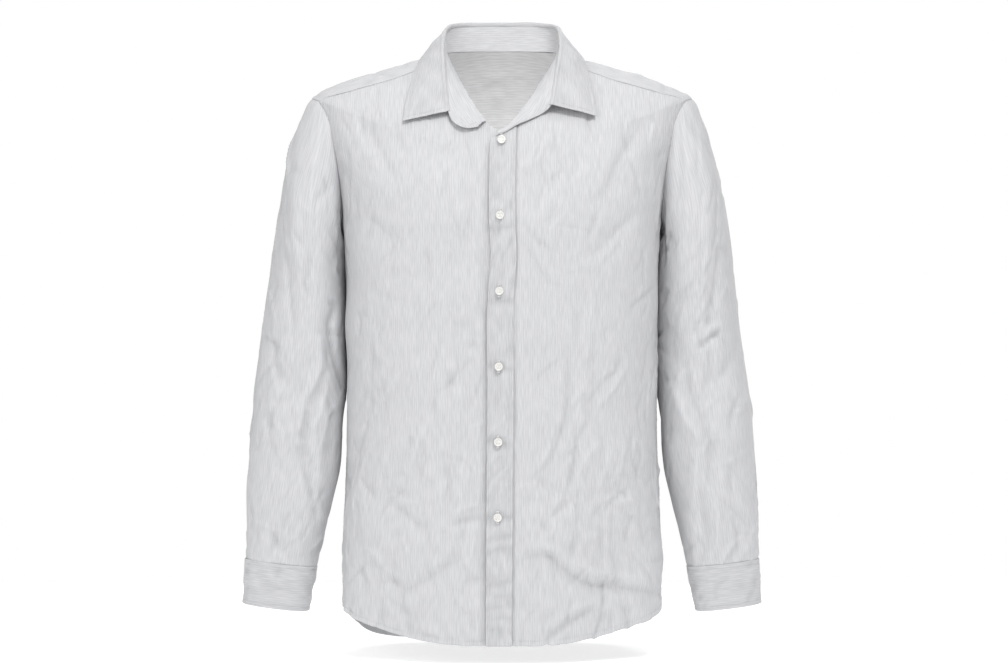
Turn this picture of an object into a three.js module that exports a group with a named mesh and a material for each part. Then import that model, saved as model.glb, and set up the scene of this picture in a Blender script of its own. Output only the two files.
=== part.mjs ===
// A crumpled long-sleeved button-up shirt, filled out to the hollow form it has when it is worn.
// Millimetres, +Z up. The front faces -Y and the wearer's left side is +X.
// The origin lies in the middle of the neck opening, level with the neck ends of the shoulders.
//
// Each piece of cloth is a wall of even thickness. The body pieces share one skin, which is a stack
// of rings from the hem to the neck seam, and each piece is the stretch of it between its seams.

import * as THREE from 'three';

// ---- driving dimensions ----

const cloth = 1.2;            // one layer of shirting, with the body that a worn garment has
const strip = 1.5;            // a folded and pressed strip: placket, collar, cuff
const seamGap = 0.3;          // between two pieces that a seam joins
const stripLift = 1.1;        // of a pressed strip off the crumpled cloth that it lies on
const frontOverlap = 8;       // how far the right front runs on under the placket, past the middle
const frontEdge = 9;          // where the left front ends under the placket
const placketLeft = -13;      // free edge of the placket
const placketRight = 17.5;    // sewn edge of the placket
const placketLean = -6;       // how far the placket leans to the right side on its way to the hem
const buttonAcross = 10;
const buttonThick = 2.2;
const buttonHoleAcross = 1.3;
const buttonHoleSpread = 1.5; // from the button's middle to each hole, along X and along Y
const buttonPitch = 90.7;     // down the placket
const firstButtonZ = -107;
const frontButtons = 6;

// Levels up the body, measured along its side from the hem.
const underarm = 467;
const shoulderTip = 632;
const neckSeam = 809;

// The body's rings, from the hem up to the neck seam. "side" is a ring's widest point, on both
// sides of the body; "front" and "back" are its middles. "square" is the power of the outline of
// that half, where 2 is an ellipse, and "run" the power by which it leaves the side's height.
const bodyRings = [
  { side: { x: 199.5, y: 2, z: -672 },   // hem
    front: { x: 0, y: -117, z: -716, square: 2.5, run: 1.8 },
    back: { y: 119, z: -735, square: 2.5, run: 1 } },
  { side: { x: 199, y: 1, z: -610 },
    front: { x: 0, y: -120, z: -630, square: 2.5, run: 1.8 },
    back: { y: 116, z: -640, square: 2.5, run: 1.1 } },
  { side: { x: 196, y: 0, z: -540 },
    front: { x: 0, y: -123, z: -545, square: 2.5, run: 1.8 },
    back: { y: 112, z: -548, square: 2.5, run: 1.1 } },
  { side: { x: 193, y: 0, z: -440 },     // waist
    front: { x: 0, y: -126, z: -440, square: 2.6, run: 1.8 },
    back: { y: 108, z: -440, square: 2.5, run: 1.1 } },
  { side: { x: 194, y: 1, z: -320 },
    front: { x: 0, y: -129, z: -320, square: 2.7, run: 1.8 },
    back: { y: 112, z: -320, square: 2.5, run: 1.1 } },
  { side: { x: 197, y: 5, z: -205 },     // chest, at the underarm
    front: { x: 0, y: -130, z: -212, square: 2.7, run: 1.8 },
    back: { y: 123, z: -205, square: 2.5, run: 1.1 } },
  { side: { x: 205, y: 8, z: -150 },
    front: { x: 0, y: -127, z: -172, square: 2.5, run: 1.8 },
    back: { y: 127, z: -150, square: 2.4, run: 1.1 } },
  { side: { x: 219, y: 12, z: -98 },
    front: { x: 0, y: -123, z: -148, square: 2.15, run: 1.8 },
    back: { y: 125, z: -104, square: 2.2, run: 1.1 } },
  { side: { x: 232, y: 14, z: -66 },
    front: { x: 0, y: -120, z: -134, square: 1.8, run: 1.8 },
    back: { y: 119, z: -74, square: 2.05, run: 1.1 } },
  { side: { x: 239, y: 15, z: -46 },     // tip of the shoulder
    front: { x: 0, y: -118, z: -124, square: 1.65, run: 1.8 },
    back: { y: 112, z: -52, square: 1.95, run: 1.1 } },
  { side: { x: 222, y: 15, z: -34 },
    front: { x: 0, y: -116.5, z: -119, square: 1.7, run: 1.8 },
    back: { y: 106, z: -38, square: 2, run: 1.1 } },
  { side: { x: 192, y: 15, z: -21.5 },
    front: { x: -1, y: -115, z: -114, square: 1.75, run: 1.8 },
    back: { y: 100, z: -24, square: 2.15, run: 1.1 } },
  { side: { x: 148, y: 15, z: -8.5 },
    front: { x: -2, y: -113, z: -107, square: 1.75, run: 1.8 },
    back: { y: 90, z: -8, square: 2.4, run: 1 } },
  { side: { x: 112, y: 15, z: 2 },
    front: { x: -3, y: -111, z: -101, square: 1.65, run: 1.8 },
    back: { y: 80, z: 7, square: 2.7, run: 0.9 } },
  { side: { x: 73, y: 15, z: 9 },        // neck seam
    front: { x: -4, y: -109, z: -94, square: 1.5, run: 1.75 },
    back: { y: 70, z: 20, square: 3, run: 0.8 } },
];

// Soft folds that stand out of the body, each between two places on its skin. "angle" runs round
// the body from its left side (0) over the front (90) to its right side (180) and the back (270).
const bodyFolds = [
  { angle: 88, level: 118, toAngle: 50, toLevel: 92, wide: 26, deep: 4.5 },   // over the left hip
  { angle: 70, level: 130, toAngle: 30, toLevel: 60, wide: 30, deep: -4 },
  { angle: 48, level: 20, toAngle: 20, toLevel: 66, wide: 28, deep: 4 },
  { angle: 118, level: 40, toAngle: 150, toLevel: 130, wide: 30, deep: 3.5 },
  { angle: 140, level: 250, toAngle: 165, toLevel: 120, wide: 28, deep: -3 },
  { angle: 30, level: 430, toAngle: 62, toLevel: 560, wide: 26, deep: 3 },    // from the armholes
  { angle: 150, level: 430, toAngle: 118, toLevel: 560, wide: 26, deep: 3 },
  { angle: 240, level: 90, toAngle: 300, toLevel: 150, wide: 30, deep: 4 },   // across the back
  { angle: 225, level: 300, toAngle: 285, toLevel: 220, wide: 34, deep: 4.5 },
  { angle: 315, level: 330, toAngle: 270, toLevel: 270, wide: 32, deep: -4 },
  { angle: 214, level: 470, toAngle: 236, toLevel: 380, wide: 28, deep: 4 },
  { angle: 326, level: 470, toAngle: 304, toLevel: 380, wide: 28, deep: 4 },
];

// The tail of the back hangs lower towards its right side.
const tailDrop = { angle: 218, wide: 26, deep: 7, fade: 90 };

// Flutes of the hem: how far it stands out of its ring and how often round the body.
const hemFlutes = [
  { deep: 3.5, count: 5, turn: 0 },
  { deep: 2.5, count: 9, turn: 180 },
];
const fluteFade = 190;        // level at which the flutes have run out

// The seams of the body as places on its skin, on the left side; the right side mirrors them.
const frontYokeSeam = [       // from the neck out to the armhole
  { angle: 15, level: neckSeam },
  { angle: 20, level: 765 },
  { angle: 21.5, level: 720 },
  { angle: 20, level: 672 },
  { angle: 12, level: shoulderTip },
];
const frontArmhole = [        // from the underarm up to the front yoke seam
  { angle: 0, level: underarm },
  { angle: 11, level: 484 },
  { angle: 17, level: 520 },
  { angle: 20, level: 564 },
  { angle: 20, level: 596 },
  { angle: 17, level: 620 },
  { angle: 12, level: shoulderTip },
];
const backArmhole = [         // from the underarm up to the back yoke seam
  { angle: 0, level: underarm },
  { angle: -14, level: 484 },
  { angle: -22, level: 524 },
  { angle: -24, level: 560 },
  { angle: -24, level: 590 },
];
const yokeArmhole = [         // from the back yoke seam over the shoulder to the front one
  { angle: -24, level: 590 },
  { angle: -20, level: 612 },
  { angle: -11, level: 627 },
  { angle: 0, level: shoulderTip },
  { angle: 12, level: shoulderTip },
];
const backYokeLevel = 610;    // height of the back yoke seam in the middle of the back

// A sleeve's rings, from the armhole down to the cuff, on the left; the right sleeve mirrors them.
const sleeveRings = [
  { outX: 239, outZ: -48, inX: 198, inZ: -206, frontY: -42, backY: 70 },
  { outX: 250, outZ: -68, inX: 199.5, inZ: -214, frontY: -51, backY: 75 },
  { outX: 260, outZ: -94, inX: 200, inZ: -225, frontY: -57, backY: 80 },
  { outX: 271, outZ: -140, inX: 200.5, inZ: -243, frontY: -59, backY: 82 },
  { outX: 280, outZ: -190, inX: 200.5, inZ: -267, frontY: -60, backY: 82 },
  { outX: 288, outZ: -245, inX: 200, inZ: -302, frontY: -58, backY: 82 },
  { outX: 297, outZ: -310, inX: 199.5, inZ: -347, frontY: -54, backY: 80 },
  { outX: 305, outZ: -375, inX: 199, inZ: -400, frontY: -52, backY: 76 },
  { outX: 312, outZ: -435, inX: 199.5, inZ: -453, frontY: -52, backY: 68 },
  { outX: 317, outZ: -490, inX: 203, inZ: -503, frontY: -50, backY: 58 },
  { outX: 319, outZ: -540, inX: 213, inZ: -550, frontY: -48, backY: 47 },
  { outX: 319.5, outZ: -585, inX: 223, inZ: -595, frontY: -45, backY: 37 },
  { outX: 319.5, outZ: -619, inX: 231, inZ: -629, frontY: -41, backY: 29 },
];
const cuffRings = [
  { outX: 321, outZ: -619.3, inX: 230, inZ: -629.3, frontY: -42, backY: 30 },
  { outX: 324, outZ: -674, inX: 241, inZ: -684, frontY: -39, backY: 29 },
];
const sleeveSquare = { out: 2.1, in: 2.7 };
const headRun = 0.16;         // share of the sleeve over which its top takes the armhole's shape

// Soft folds of a sleeve: "turn" runs round it from its outer side (0) over its front (90),
// "run" is the share of its length, and "deep" is how far the fold stands out.
const sleeveFolds = [
  { turn: 60, run: 0.12, toTurn: 110, toRun: 0.4, wide: 24, deep: 3.5 },
  { turn: 150, run: 0.36, toTurn: 70, toRun: 0.52, wide: 22, deep: 4 },
  { turn: 40, run: 0.5, toTurn: 120, toRun: 0.62, wide: 20, deep: -4 },
  { turn: 130, run: 0.6, toTurn: 60, toRun: 0.74, wide: 20, deep: 4 },
  { turn: 80, run: 0.76, toTurn: 95, toRun: 0.97, wide: 18, deep: 3 },
  { turn: 330, run: 0.3, toTurn: 250, toRun: 0.42, wide: 24, deep: 4 },
  { turn: 240, run: 0.46, toTurn: 320, toRun: 0.6, wide: 22, deep: -4 },
  { turn: 300, run: 0.66, toTurn: 275, toRun: 0.95, wide: 20, deep: 3.5 },
];

// The collar, station by station from the middle of the back to the front, on one side. "angle"
// is the place on the neck seam, "roll" the top edge of the band, "edge" the free edge of the
// leaf, which lies on the body, and "raise" how much higher the left side's edges lie there.
const collarStations = [
  { angle: -90, raise: 0, roll: { x: 0, y: 74, z: 55.5 }, edge: { x: 0, y: 86, z: 11 } },
  { angle: -62, raise: 0, roll: { x: 39, y: 71, z: 55 }, edge: { x: 46, y: 83, z: 10 } },
  { angle: -40, raise: 0, roll: { x: 61, y: 56.5, z: 52 }, edge: { x: 74, y: 66, z: 9 } },
  { angle: -20, raise: 0, roll: { x: 70.5, y: 31, z: 44.5 }, edge: { x: 89, y: 42, z: 6 } },
  { angle: 0, raise: 0, roll: { x: 72.5, y: 2, z: 33.5 }, edge: { x: 98, y: 10, z: 3 } },
  { angle: 20, raise: 0, roll: { x: 73, y: -32, z: 16 }, edge: { x: 104.5, y: -24, z: -9 } },
  { angle: 38, raise: 1, roll: { x: 70, y: -62, z: -11 }, edge: { x: 110, y: -50, z: -28 } },
  { angle: 52, raise: 4, roll: { x: 66.5, y: -81, z: -42 }, edge: { x: 115, y: -72, z: -52 } },
  { angle: 63, raise: 8, roll: { x: 62, y: -93, z: -70 }, edge: { x: 118, y: -90, z: -80 } },
];
const collarLean = -3.5;      // the open collar's front leans to the right side
// The free edge of the band in front of the leaf: the rounded end of the right one, and the
// tapered end of the left one, which runs out at the foot of the neck opening.
const bandEnds = {
  right: [
    { angle: 66, x: -60, z: -83 },
    { angle: 70, x: -53, z: -89 },
    { angle: 74, x: -40, z: -93 },
    { angle: 77, x: -28.5, z: -91 },
  ],
  left: [
    { angle: 68, x: 50, z: -73 },
    { angle: 74, x: 33, z: -82 },
    { angle: 80, x: 18, z: -88.5 },
    { angle: 86, x: 4, z: -97 },
    { angle: 89, x: -7, z: -101.5 },
  ],
};
const collarLift = 3.6;       // of the open band and the leaf off the chest
const bandSeat = 0.5;         // of the band's foot off the neck seam
const bandBelly = 2.2;        // how far the open band bulges off the chest between foot and edge
const leafClear = 1;          // of the leaf off the band's top edge
const collarButtonPlace = { station: 9.5, row: 2 }; // forwards along the right side, up the band
const leafBelly = 1.2;        // how far the leaf bulges between its roll and its edge

// The slit of each sleeve at its back, above the cuff, and the strip that covers it.
const sleevePlacket = { turn: 262, length: 125, width: 24 };
const cuffLap = { turn: 262, degrees: 38 };

// Grid sizes: how finely each piece is faceted.
const sideRows = 13;          // from the hem to the underarm
const armholeRows = 8;        // from the underarm to the yoke
const frontColumns = 10;
const neckColumns = 10;       // round the back of the neck
const yokeRows = 6;
const sleeveRows = 20;
const placketRows = 20;
const placketColumns = 3;
const bandRows = 3;
const leafRows = 4;
const cuffColumns = 26;
const cuffRows = 2;
const sleevePlacketRows = 6;
const sleevePlacketColumns = 2;
const buttonSides = 20;
const holeSides = 6;

// ---- curves and the skin of the body ----

const radians = THREE.MathUtils.degToRad;

// Monotone cubic through the rows of a table: the value of read(row) where the rows lie at "stops".
function alongRows(rows, stops, read, at) {
  const place = THREE.MathUtils.clamp(at, stops[0], stops[stops.length - 1]);
  let i = 0;
  while (i < stops.length - 2 && place > stops[i + 1]) i += 1;
  const rise = (k) => (read(rows[k + 1]) - read(rows[k])) / (stops[k + 1] - stops[k]);
  const slope = (k) => {
    if (k === 0) return rise(0);
    if (k === stops.length - 1) return rise(k - 1);
    const before = rise(k - 1);
    const after = rise(k);
    return before * after <= 0 ? 0 : 2 * before * after / (before + after);
  };
  const width = stops[i + 1] - stops[i];
  const t = (place - stops[i]) / width;
  return (1 + 2 * t) * (1 - t) ** 2 * read(rows[i]) + t * (1 - t) ** 2 * width * slope(i)
    + t * t * (3 - 2 * t) * read(rows[i + 1]) + t * t * (t - 1) * width * slope(i + 1);
}

// The level of each ring is its distance up the side of the body from the hem.
const ringLevels = [0];
for (let i = 1; i < bodyRings.length; i += 1) {
  const below = bodyRings[i - 1].side;
  const here = bodyRings[i].side;
  ringLevels.push(ringLevels[i - 1] + Math.hypot(here.x - below.x, here.z - below.z));
}

const ring = (read, level) => alongRows(bodyRings, ringLevels, read, level);

const backTo360 = (angle) => ((angle % 360) + 360) % 360;

// The smooth skin, without folds.
function bareSkin(angle, level) {
  const turn = radians(angle);
  const front = Math.sin(turn) >= 0;
  const half = (read) => ring((row) => read(front ? row.front : row.back), level);
  const square = half((h) => h.square);
  const along = Math.abs(Math.cos(turn));
  const across = Math.abs(Math.sin(turn));
  const reach = (along ** square + across ** square) ** (-1 / square);
  const toMiddle = across * reach;
  const toTail = (backTo360(angle) - tailDrop.angle) / tailDrop.wide;
  const low = Math.max(0, 1 - level / tailDrop.fade) ** 1.5;
  const drop = tailDrop.deep * low * Math.exp(-toTail * toTail);
  const sideX = ring((row) => row.side.x, level) * Math.sign(Math.cos(turn)) * along * reach;
  const sideY = ring((row) => row.side.y, level);
  const sideZ = ring((row) => row.side.z, level);
  return new THREE.Vector3(
    sideX + (front ? half((h) => h.x) * toMiddle ** 2 : 0),
    sideY + (half((h) => h.y) - sideY) * toMiddle,
    sideZ + (half((h) => h.z) - sideZ) * toMiddle ** half((h) => h.run) - drop,
  );
}

// Outward direction of a skin at a place.
function skinNormal(skin, u, v, stepU, stepV) {
  const acrossU = skin(u + stepU, v).sub(skin(u - stepU, v));
  const upV = skin(u, v + stepV).sub(skin(u, v - stepV));
  return upV.cross(acrossU).normalize();
}

// Height of one soft fold at a place given in millimetres, with its ends tapered.
function foldHeight(fold, place, from, to) {
  const line = to.clone().sub(from);
  const share = place.clone().sub(from).dot(line) / line.lengthSq();
  const nearest = from.clone().addScaledVector(line, THREE.MathUtils.clamp(share, 0, 1));
  const away = place.distanceTo(nearest) / fold.wide;
  const taper = Math.sin(Math.PI * THREE.MathUtils.clamp(0.15 + 0.7 * share, 0, 1));
  return fold.deep * Math.exp(-away * away * 2) * taper;
}

const girthStep = 3;          // millimetres round the body for each degree

function bodyRelief(angle, level) {
  const at = backTo360(angle);
  const place = new THREE.Vector2(at * girthStep, level);
  let height = 0;
  for (const fold of bodyFolds) {
    const from = new THREE.Vector2(fold.angle * girthStep, fold.level);
    const to = new THREE.Vector2(fold.toAngle * girthStep, fold.toLevel);
    height += foldHeight(fold, place, from, to);
  }
  const fade = Math.max(0, 1 - level / fluteFade) ** 1.5;
  for (const { deep, count, turn } of hemFlutes) {
    height += deep * fade * Math.sin(radians(at * count + turn));
  }
  const middle = Math.min(1, Math.abs(at - 90) / 12); // the placket keeps the front's middle plain
  return height * middle;
}

// A place on the folded body, moved out by "out".
function body(angle, level, out = 0) {
  const normal = skinNormal(bareSkin, angle, level, 0.2, 0.5);
  return bareSkin(angle, level).addScaledVector(normal, bodyRelief(angle, level) + out);
}

// The angle on the front at which a ring is x from the middle.
function angleAt(x, level) {
  let low = 0;
  let high = 180;
  for (let i = 0; i < 40; i += 1) {
    const middle = (low + high) / 2;
    if (bareSkin(middle, level).x > x) low = middle; else high = middle;
  }
  return (low + high) / 2;
}

// The level at which the front of the body reaches height z, at x from the middle.
function levelAt(x, z) {
  let low = 0;
  let high = neckSeam;
  for (let i = 0; i < 40; i += 1) {
    const middle = (low + high) / 2;
    if (bareSkin(angleAt(x, middle), middle).z > z) high = middle; else low = middle;
  }
  return (low + high) / 2;
}

// The place on the front of the body at x and z, moved out by "out".
function onFront(x, z, out) {
  const level = levelAt(x, z);
  return body(angleAt(x, level), level, out);
}

// The place on the body nearest to a guide point, moved out by "out".
function layOn(guide, out) {
  let best = { angle: guide.y < 15 ? 45 : -45, level: 700 };
  if (guide.x < 0) best.angle = 180 - best.angle;
  const gap = ({ angle, level }) => bareSkin(angle, level).distanceTo(guide);
  for (let step = 1; step > 0.002; step /= 1.6) {
    for (let again = 0; again < 3; again += 1) {
      for (let way = 0; way < 360; way += 45) {
        const next = {
          angle: best.angle + 30 * step * Math.cos(radians(way)),
          level: Math.min(best.level + 90 * step * Math.sin(radians(way)), neckSeam),
        };
        if (gap(next) < gap(best)) best = next;
      }
    }
  }
  return body(best.angle, best.level, out);
}

// ---- walls of cloth from grids of points ----

const lerp = THREE.MathUtils.lerp;

// Outward direction at each point of a grid, whose rows run upwards and whose columns run so
// that the outside is to the left of them; "around" joins the last column to the first.
function gridNormals(grid, around, flip) {
  const rows = grid.length;
  const columns = grid[0].length;
  return grid.map((row, i) => row.map((point, j) => {
    const right = around ? (j + 1) % columns : Math.min(j + 1, columns - 1);
    const left = around ? (j + columns - 1) % columns : Math.max(j - 1, 0);
    const across = row[right].clone().sub(row[left]);
    const up = grid[Math.min(i + 1, rows - 1)][j].clone().sub(grid[Math.max(i - 1, 0)][j]);
    return across.cross(up).normalize().multiplyScalar(flip ? -1 : 1);
  }));
}

// Draws each open edge of a grid in by half a seam gap.
function drawIn(grid, around) {
  const rows = grid.length;
  const columns = grid[0].length;
  const towards = (from, to) => to.clone().sub(from).setLength(seamGap / 2);
  return grid.map((row, i) => row.map((point, j) => {
    const moved = point.clone();
    if (i === 0) moved.add(towards(point, grid[1][j]));
    if (i === rows - 1) moved.add(towards(point, grid[rows - 2][j]));
    if (!around && j === 0) moved.add(towards(point, row[1]));
    if (!around && j === columns - 1) moved.add(towards(point, row[columns - 2]));
    return moved;
  }));
}

// A closed wall: the grid is its outside, and its inside lies one thickness along -normals.
function wall(grid, normals, thick, { around = false, flip = false } = {}) {
  const outside = drawIn(grid, around);
  const inside = outside.map((row, i) => row.map((point, j) => (
    point.clone().addScaledVector(normals[i][j], -thick))));
  const rows = grid.length;
  const columns = grid[0].length;
  const spans = around ? columns : columns - 1;
  const positions = [];
  const triangle = (a, b, c) => {
    for (const p of flip ? [a, c, b] : [a, b, c]) positions.push(p.x, p.y, p.z);
  };
  const quad = (a, b, c, d) => {
    triangle(a, b, c);
    triangle(a, c, d);
  };
  for (let i = 0; i < rows - 1; i += 1) {
    for (let j = 0; j < spans; j += 1) {
      const next = (j + 1) % columns;
      quad(outside[i][j], outside[i][next], outside[i + 1][next], outside[i + 1][j]);
      quad(inside[i][j], inside[i + 1][j], inside[i + 1][next], inside[i][next]);
    }
  }
  for (let j = 0; j < spans; j += 1) {
    const next = (j + 1) % columns;
    const top = rows - 1;
    quad(outside[0][j], inside[0][j], inside[0][next], outside[0][next]);
    quad(outside[top][next], inside[top][next], inside[top][j], outside[top][j]);
  }
  if (!around) {
    const last = columns - 1;
    for (let i = 0; i < rows - 1; i += 1) {
      quad(outside[i][0], outside[i + 1][0], inside[i + 1][0], inside[i][0]);
      quad(outside[i][last], inside[i][last], inside[i + 1][last], outside[i + 1][last]);
    }
  }
  const geometry = new THREE.BufferGeometry();
  geometry.setAttribute('position', new THREE.Float32BufferAttribute(positions, 3));
  geometry.computeVertexNormals();
  return geometry;
}

// ---- materials and the group ----

const shirt = new THREE.Group();
const finish = (color, roughness) => new THREE.MeshStandardMaterial({ color, roughness, metalness: 0 });

function piece(name, geometry, color = 0xd3d4d7, roughness = 0.88) {
  const mesh = new THREE.Mesh(geometry, finish(color, roughness));
  mesh.name = name;
  shirt.add(mesh);
  return mesh;
}

// ---- body panels ----

// A place on a seam, as a share of the way along its table.
function onSeam(seam, share) {
  const stops = seam.map((row, i) => i);
  const at = share * (seam.length - 1);
  return {
    angle: alongRows(seam, stops, (row) => row.angle, at),
    level: alongRows(seam, stops, (row) => row.level, at),
  };
}

const mirrored = (place) => ({ angle: 180 - place.angle, level: place.level });

// The middle edge of a front: up its straight edge at x, ending at neckX on the neck seam, then
// along the neck seam to the yoke. Half of the rows above the underarm go to each stretch.
function frontEdgePlaces(x, neckX, mirror) {
  const neckStart = angleAt(neckX, neckSeam);
  const neckEnd = mirror ? mirrored(frontYokeSeam[0]).angle : frontYokeSeam[0].angle;
  const bend = sideRows + armholeRows / 2;
  const places = [];
  for (let i = 0; i <= sideRows + armholeRows; i += 1) {
    if (i <= bend) {
      const rise = i <= sideRows
        ? underarm * i / sideRows
        : lerp(underarm, neckSeam, (i - sideRows) / (bend - sideRows));
      places.push({ angle: angleAt(i === bend ? neckX : x, rise), level: rise });
    } else {
      const share = (i - bend) / (sideRows + armholeRows - bend);
      places.push({ angle: lerp(neckStart, neckEnd, share), level: neckSeam });
    }
  }
  return places;
}

// The outer edge of a front or of the back: the side seam, then the armhole.
function sideEdgePlaces(armhole) {
  const places = [];
  for (let i = 0; i <= sideRows + armholeRows; i += 1) {
    places.push(i <= sideRows
      ? { angle: 0, level: underarm * i / sideRows }
      : onSeam(armhole, (i - sideRows) / armholeRows));
  }
  return places;
}

// The places of a panel between a left and a right edge, with its top row on a given seam.
function panelPlaces(leftEdge, rightEdge, topSeam, columns) {
  const rows = leftEdge.length - 1;
  const between = (a, b, share) => ({
    angle: lerp(a.angle, b.angle, share),
    level: lerp(a.level, b.level, share),
  });
  return leftEdge.map((left, i) => {
    const row = [];
    for (let j = 0; j <= columns; j += 1) {
      const share = j / columns;
      const place = between(left, rightEdge[i], share);
      const straight = between(leftEdge[rows], rightEdge[rows], share);
      const top = topSeam(share);
      const pull = (i / rows) ** 3;
      row.push({
        angle: place.angle + (top.angle - straight.angle) * pull,
        level: place.level + (top.level - straight.level) * pull,
      });
    }
    return row;
  });
}

// A panel with its places on the skin, their points and the outward directions there.
function panel(places) {
  const each = (make) => places.map((row) => row.map((place) => make(place.angle, place.level)));
  return {
    grid: each((angle, level) => body(angle, level)),
    normals: each((angle, level) => skinNormal(body, angle, level, 0.4, 2)),
  };
}

const frontSide = sideEdgePlaces(frontArmhole);
const leftFront = panel(panelPlaces(
  frontEdgePlaces(frontEdge, frontEdge, false),
  frontSide,
  (share) => onSeam(frontYokeSeam, share),
  frontColumns,
));
const rightFront = panel(panelPlaces(
  frontSide.map(mirrored),
  frontEdgePlaces(frontOverlap, bareSkin(90, neckSeam).x, true),
  (share) => mirrored(onSeam(frontYokeSeam, 1 - share)),
  frontColumns,
));

// The back and the yoke run from the left side over the back (angle -90) to the right side.
const backSide = sideEdgePlaces(backArmhole);
const acrossBack = (place) => ({ angle: -180 - place.angle, level: place.level });
const backColumns = 2 * frontColumns + neckColumns;

// The back yoke seam, from the left armhole to the right one.
function backYokeSeam(share) {
  const end = backArmhole[backArmhole.length - 1];
  const angle = lerp(end.angle, -180 - end.angle, share);
  const level = lerp(backYokeLevel, end.level, Math.abs(2 * share - 1) ** 3);
  return { angle, level };
}
const back = panel(panelPlaces(backSide, backSide.map(acrossBack), backYokeSeam, backColumns));

// The yoke's upper edge: the left front seam, the neck seam and the right front seam.
function yokeUpperEdge(j) {
  if (j <= frontColumns) return onSeam(frontYokeSeam, 1 - j / frontColumns);
  if (j >= frontColumns + neckColumns) {
    return acrossBack(onSeam(frontYokeSeam, (j - frontColumns - neckColumns) / frontColumns));
  }
  const start = frontYokeSeam[0].angle;
  return {
    angle: lerp(start, -180 - start, (j - frontColumns) / neckColumns),
    level: neckSeam,
  };
}
const yokePlaces = [];
for (let i = 0; i <= yokeRows; i += 1) {
  const left = onSeam(yokeArmhole, i / yokeRows);
  const right = acrossBack(left);
  const row = [];
  for (let j = 0; j <= backColumns; j += 1) {
    const share = j / backColumns;
    const lower = backYokeSeam(share);
    const upper = yokeUpperEdge(j);
    const rise = i / yokeRows;
    const corner = (a, b) => lerp(lerp(a[0], a[1], share), lerp(b[0], b[1], share), rise);
    const lowEnds = [backYokeSeam(0), backYokeSeam(1)];
    const highEnds = [yokeUpperEdge(0), yokeUpperEdge(backColumns)];
    const coons = (read) => lerp(read(lower), read(upper), rise) + lerp(read(left), read(right), share)
      - corner(lowEnds.map(read), highEnds.map(read));
    row.push({ angle: coons((p) => p.angle), level: coons((p) => p.level) });
  }
  yokePlaces.push(row);
}
const yoke = panel(yokePlaces);

// ---- sleeves ----

const sleeveStops = [0];
for (let i = 1; i < sleeveRings.length; i += 1) {
  const above = sleeveRings[i - 1];
  const here = sleeveRings[i];
  const fall = Math.hypot(here.outX + here.inX - above.outX - above.inX,
    here.outZ + here.inZ - above.outZ - above.inZ) / 2;
  sleeveStops.push(sleeveStops[i - 1] + fall);
}
const sleeveLength = sleeveStops[sleeveStops.length - 1];

// A place on a tube whose rings stand in a table, with "read" giving a column at this place.
function tubePoint(read, degrees) {
  const turn = radians(degrees);
  const outer = Math.cos(turn) >= 0;
  const square = outer ? sleeveSquare.out : sleeveSquare.in;
  const cos = Math.cos(turn);
  const sin = Math.sin(turn);
  const reach = (Math.abs(cos) ** square + Math.abs(sin) ** square) ** (-1 / square);
  const along = cos * reach / 2;
  const across = sin * reach / 2;
  const outX = read((row) => row.outX);
  const outZ = read((row) => row.outZ);
  const inX = read((row) => row.inX);
  const inZ = read((row) => row.inZ);
  const frontY = read((row) => row.frontY);
  const backY = read((row) => row.backY);
  return new THREE.Vector3(
    (outX + inX) / 2 + (outX - inX) * along,
    (frontY + backY) / 2 + (frontY - backY) * across,
    (outZ + inZ) / 2 + (outZ - inZ) * along,
  );
}

const bareSleeve = (turn, run) => tubePoint(
  (read) => alongRows(sleeveRings, sleeveStops, read, run * sleeveLength), turn);

// Outward direction of a tube, whose runs go down and not up.
const tubeNormal = (tube, turn, run) => skinNormal(tube, turn, run, 1, 0.004).negate();

const sleeveStep = 1.1;       // millimetres round the sleeve for each degree

// A place on the folded sleeve, moved out by "out".
function sleevePoint(turn, run, out = 0) {
  const at = backTo360(turn);
  const place = new THREE.Vector2(at * sleeveStep, run * sleeveLength);
  let height = 0;
  for (const fold of sleeveFolds) {
    const from = new THREE.Vector2(fold.turn * sleeveStep, fold.run * sleeveLength);
    const to = new THREE.Vector2(fold.toTurn * sleeveStep, fold.toRun * sleeveLength);
    height += foldHeight(fold, place, from, to);
  }
  const inward = Math.abs(at - 180) / 180; // the side next to the body stays plain
  height *= Math.min(1, Math.max(0, inward * 4 - 1));
  return bareSleeve(turn, run).addScaledVector(tubeNormal(bareSleeve, turn, run), height + out);
}

// The armhole as a loop of grid points, from the shoulder over the front and the underarm to the
// back: for each point the panel's grid and its row and column.
function armholeLoop(left) {
  const front = left ? leftFront : rightFront;
  const frontColumn = left ? frontColumns : 0;
  const backColumn = left ? 0 : backColumns;
  const top = sideRows + armholeRows;
  const loop = [];
  const half = Math.round(yokeRows * 0.6);
  for (let i = half; i <= yokeRows; i += 1) loop.push(yoke.grid[i][backColumn]);
  for (let i = top - 1; i >= sideRows; i -= 1) loop.push(front.grid[i][frontColumn]);
  for (let i = sideRows + 1; i <= top; i += 1) loop.push(back.grid[i][backColumn]);
  for (let i = 1; i < half; i += 1) loop.push(yoke.grid[i][backColumn]);
  return loop;
}

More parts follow.
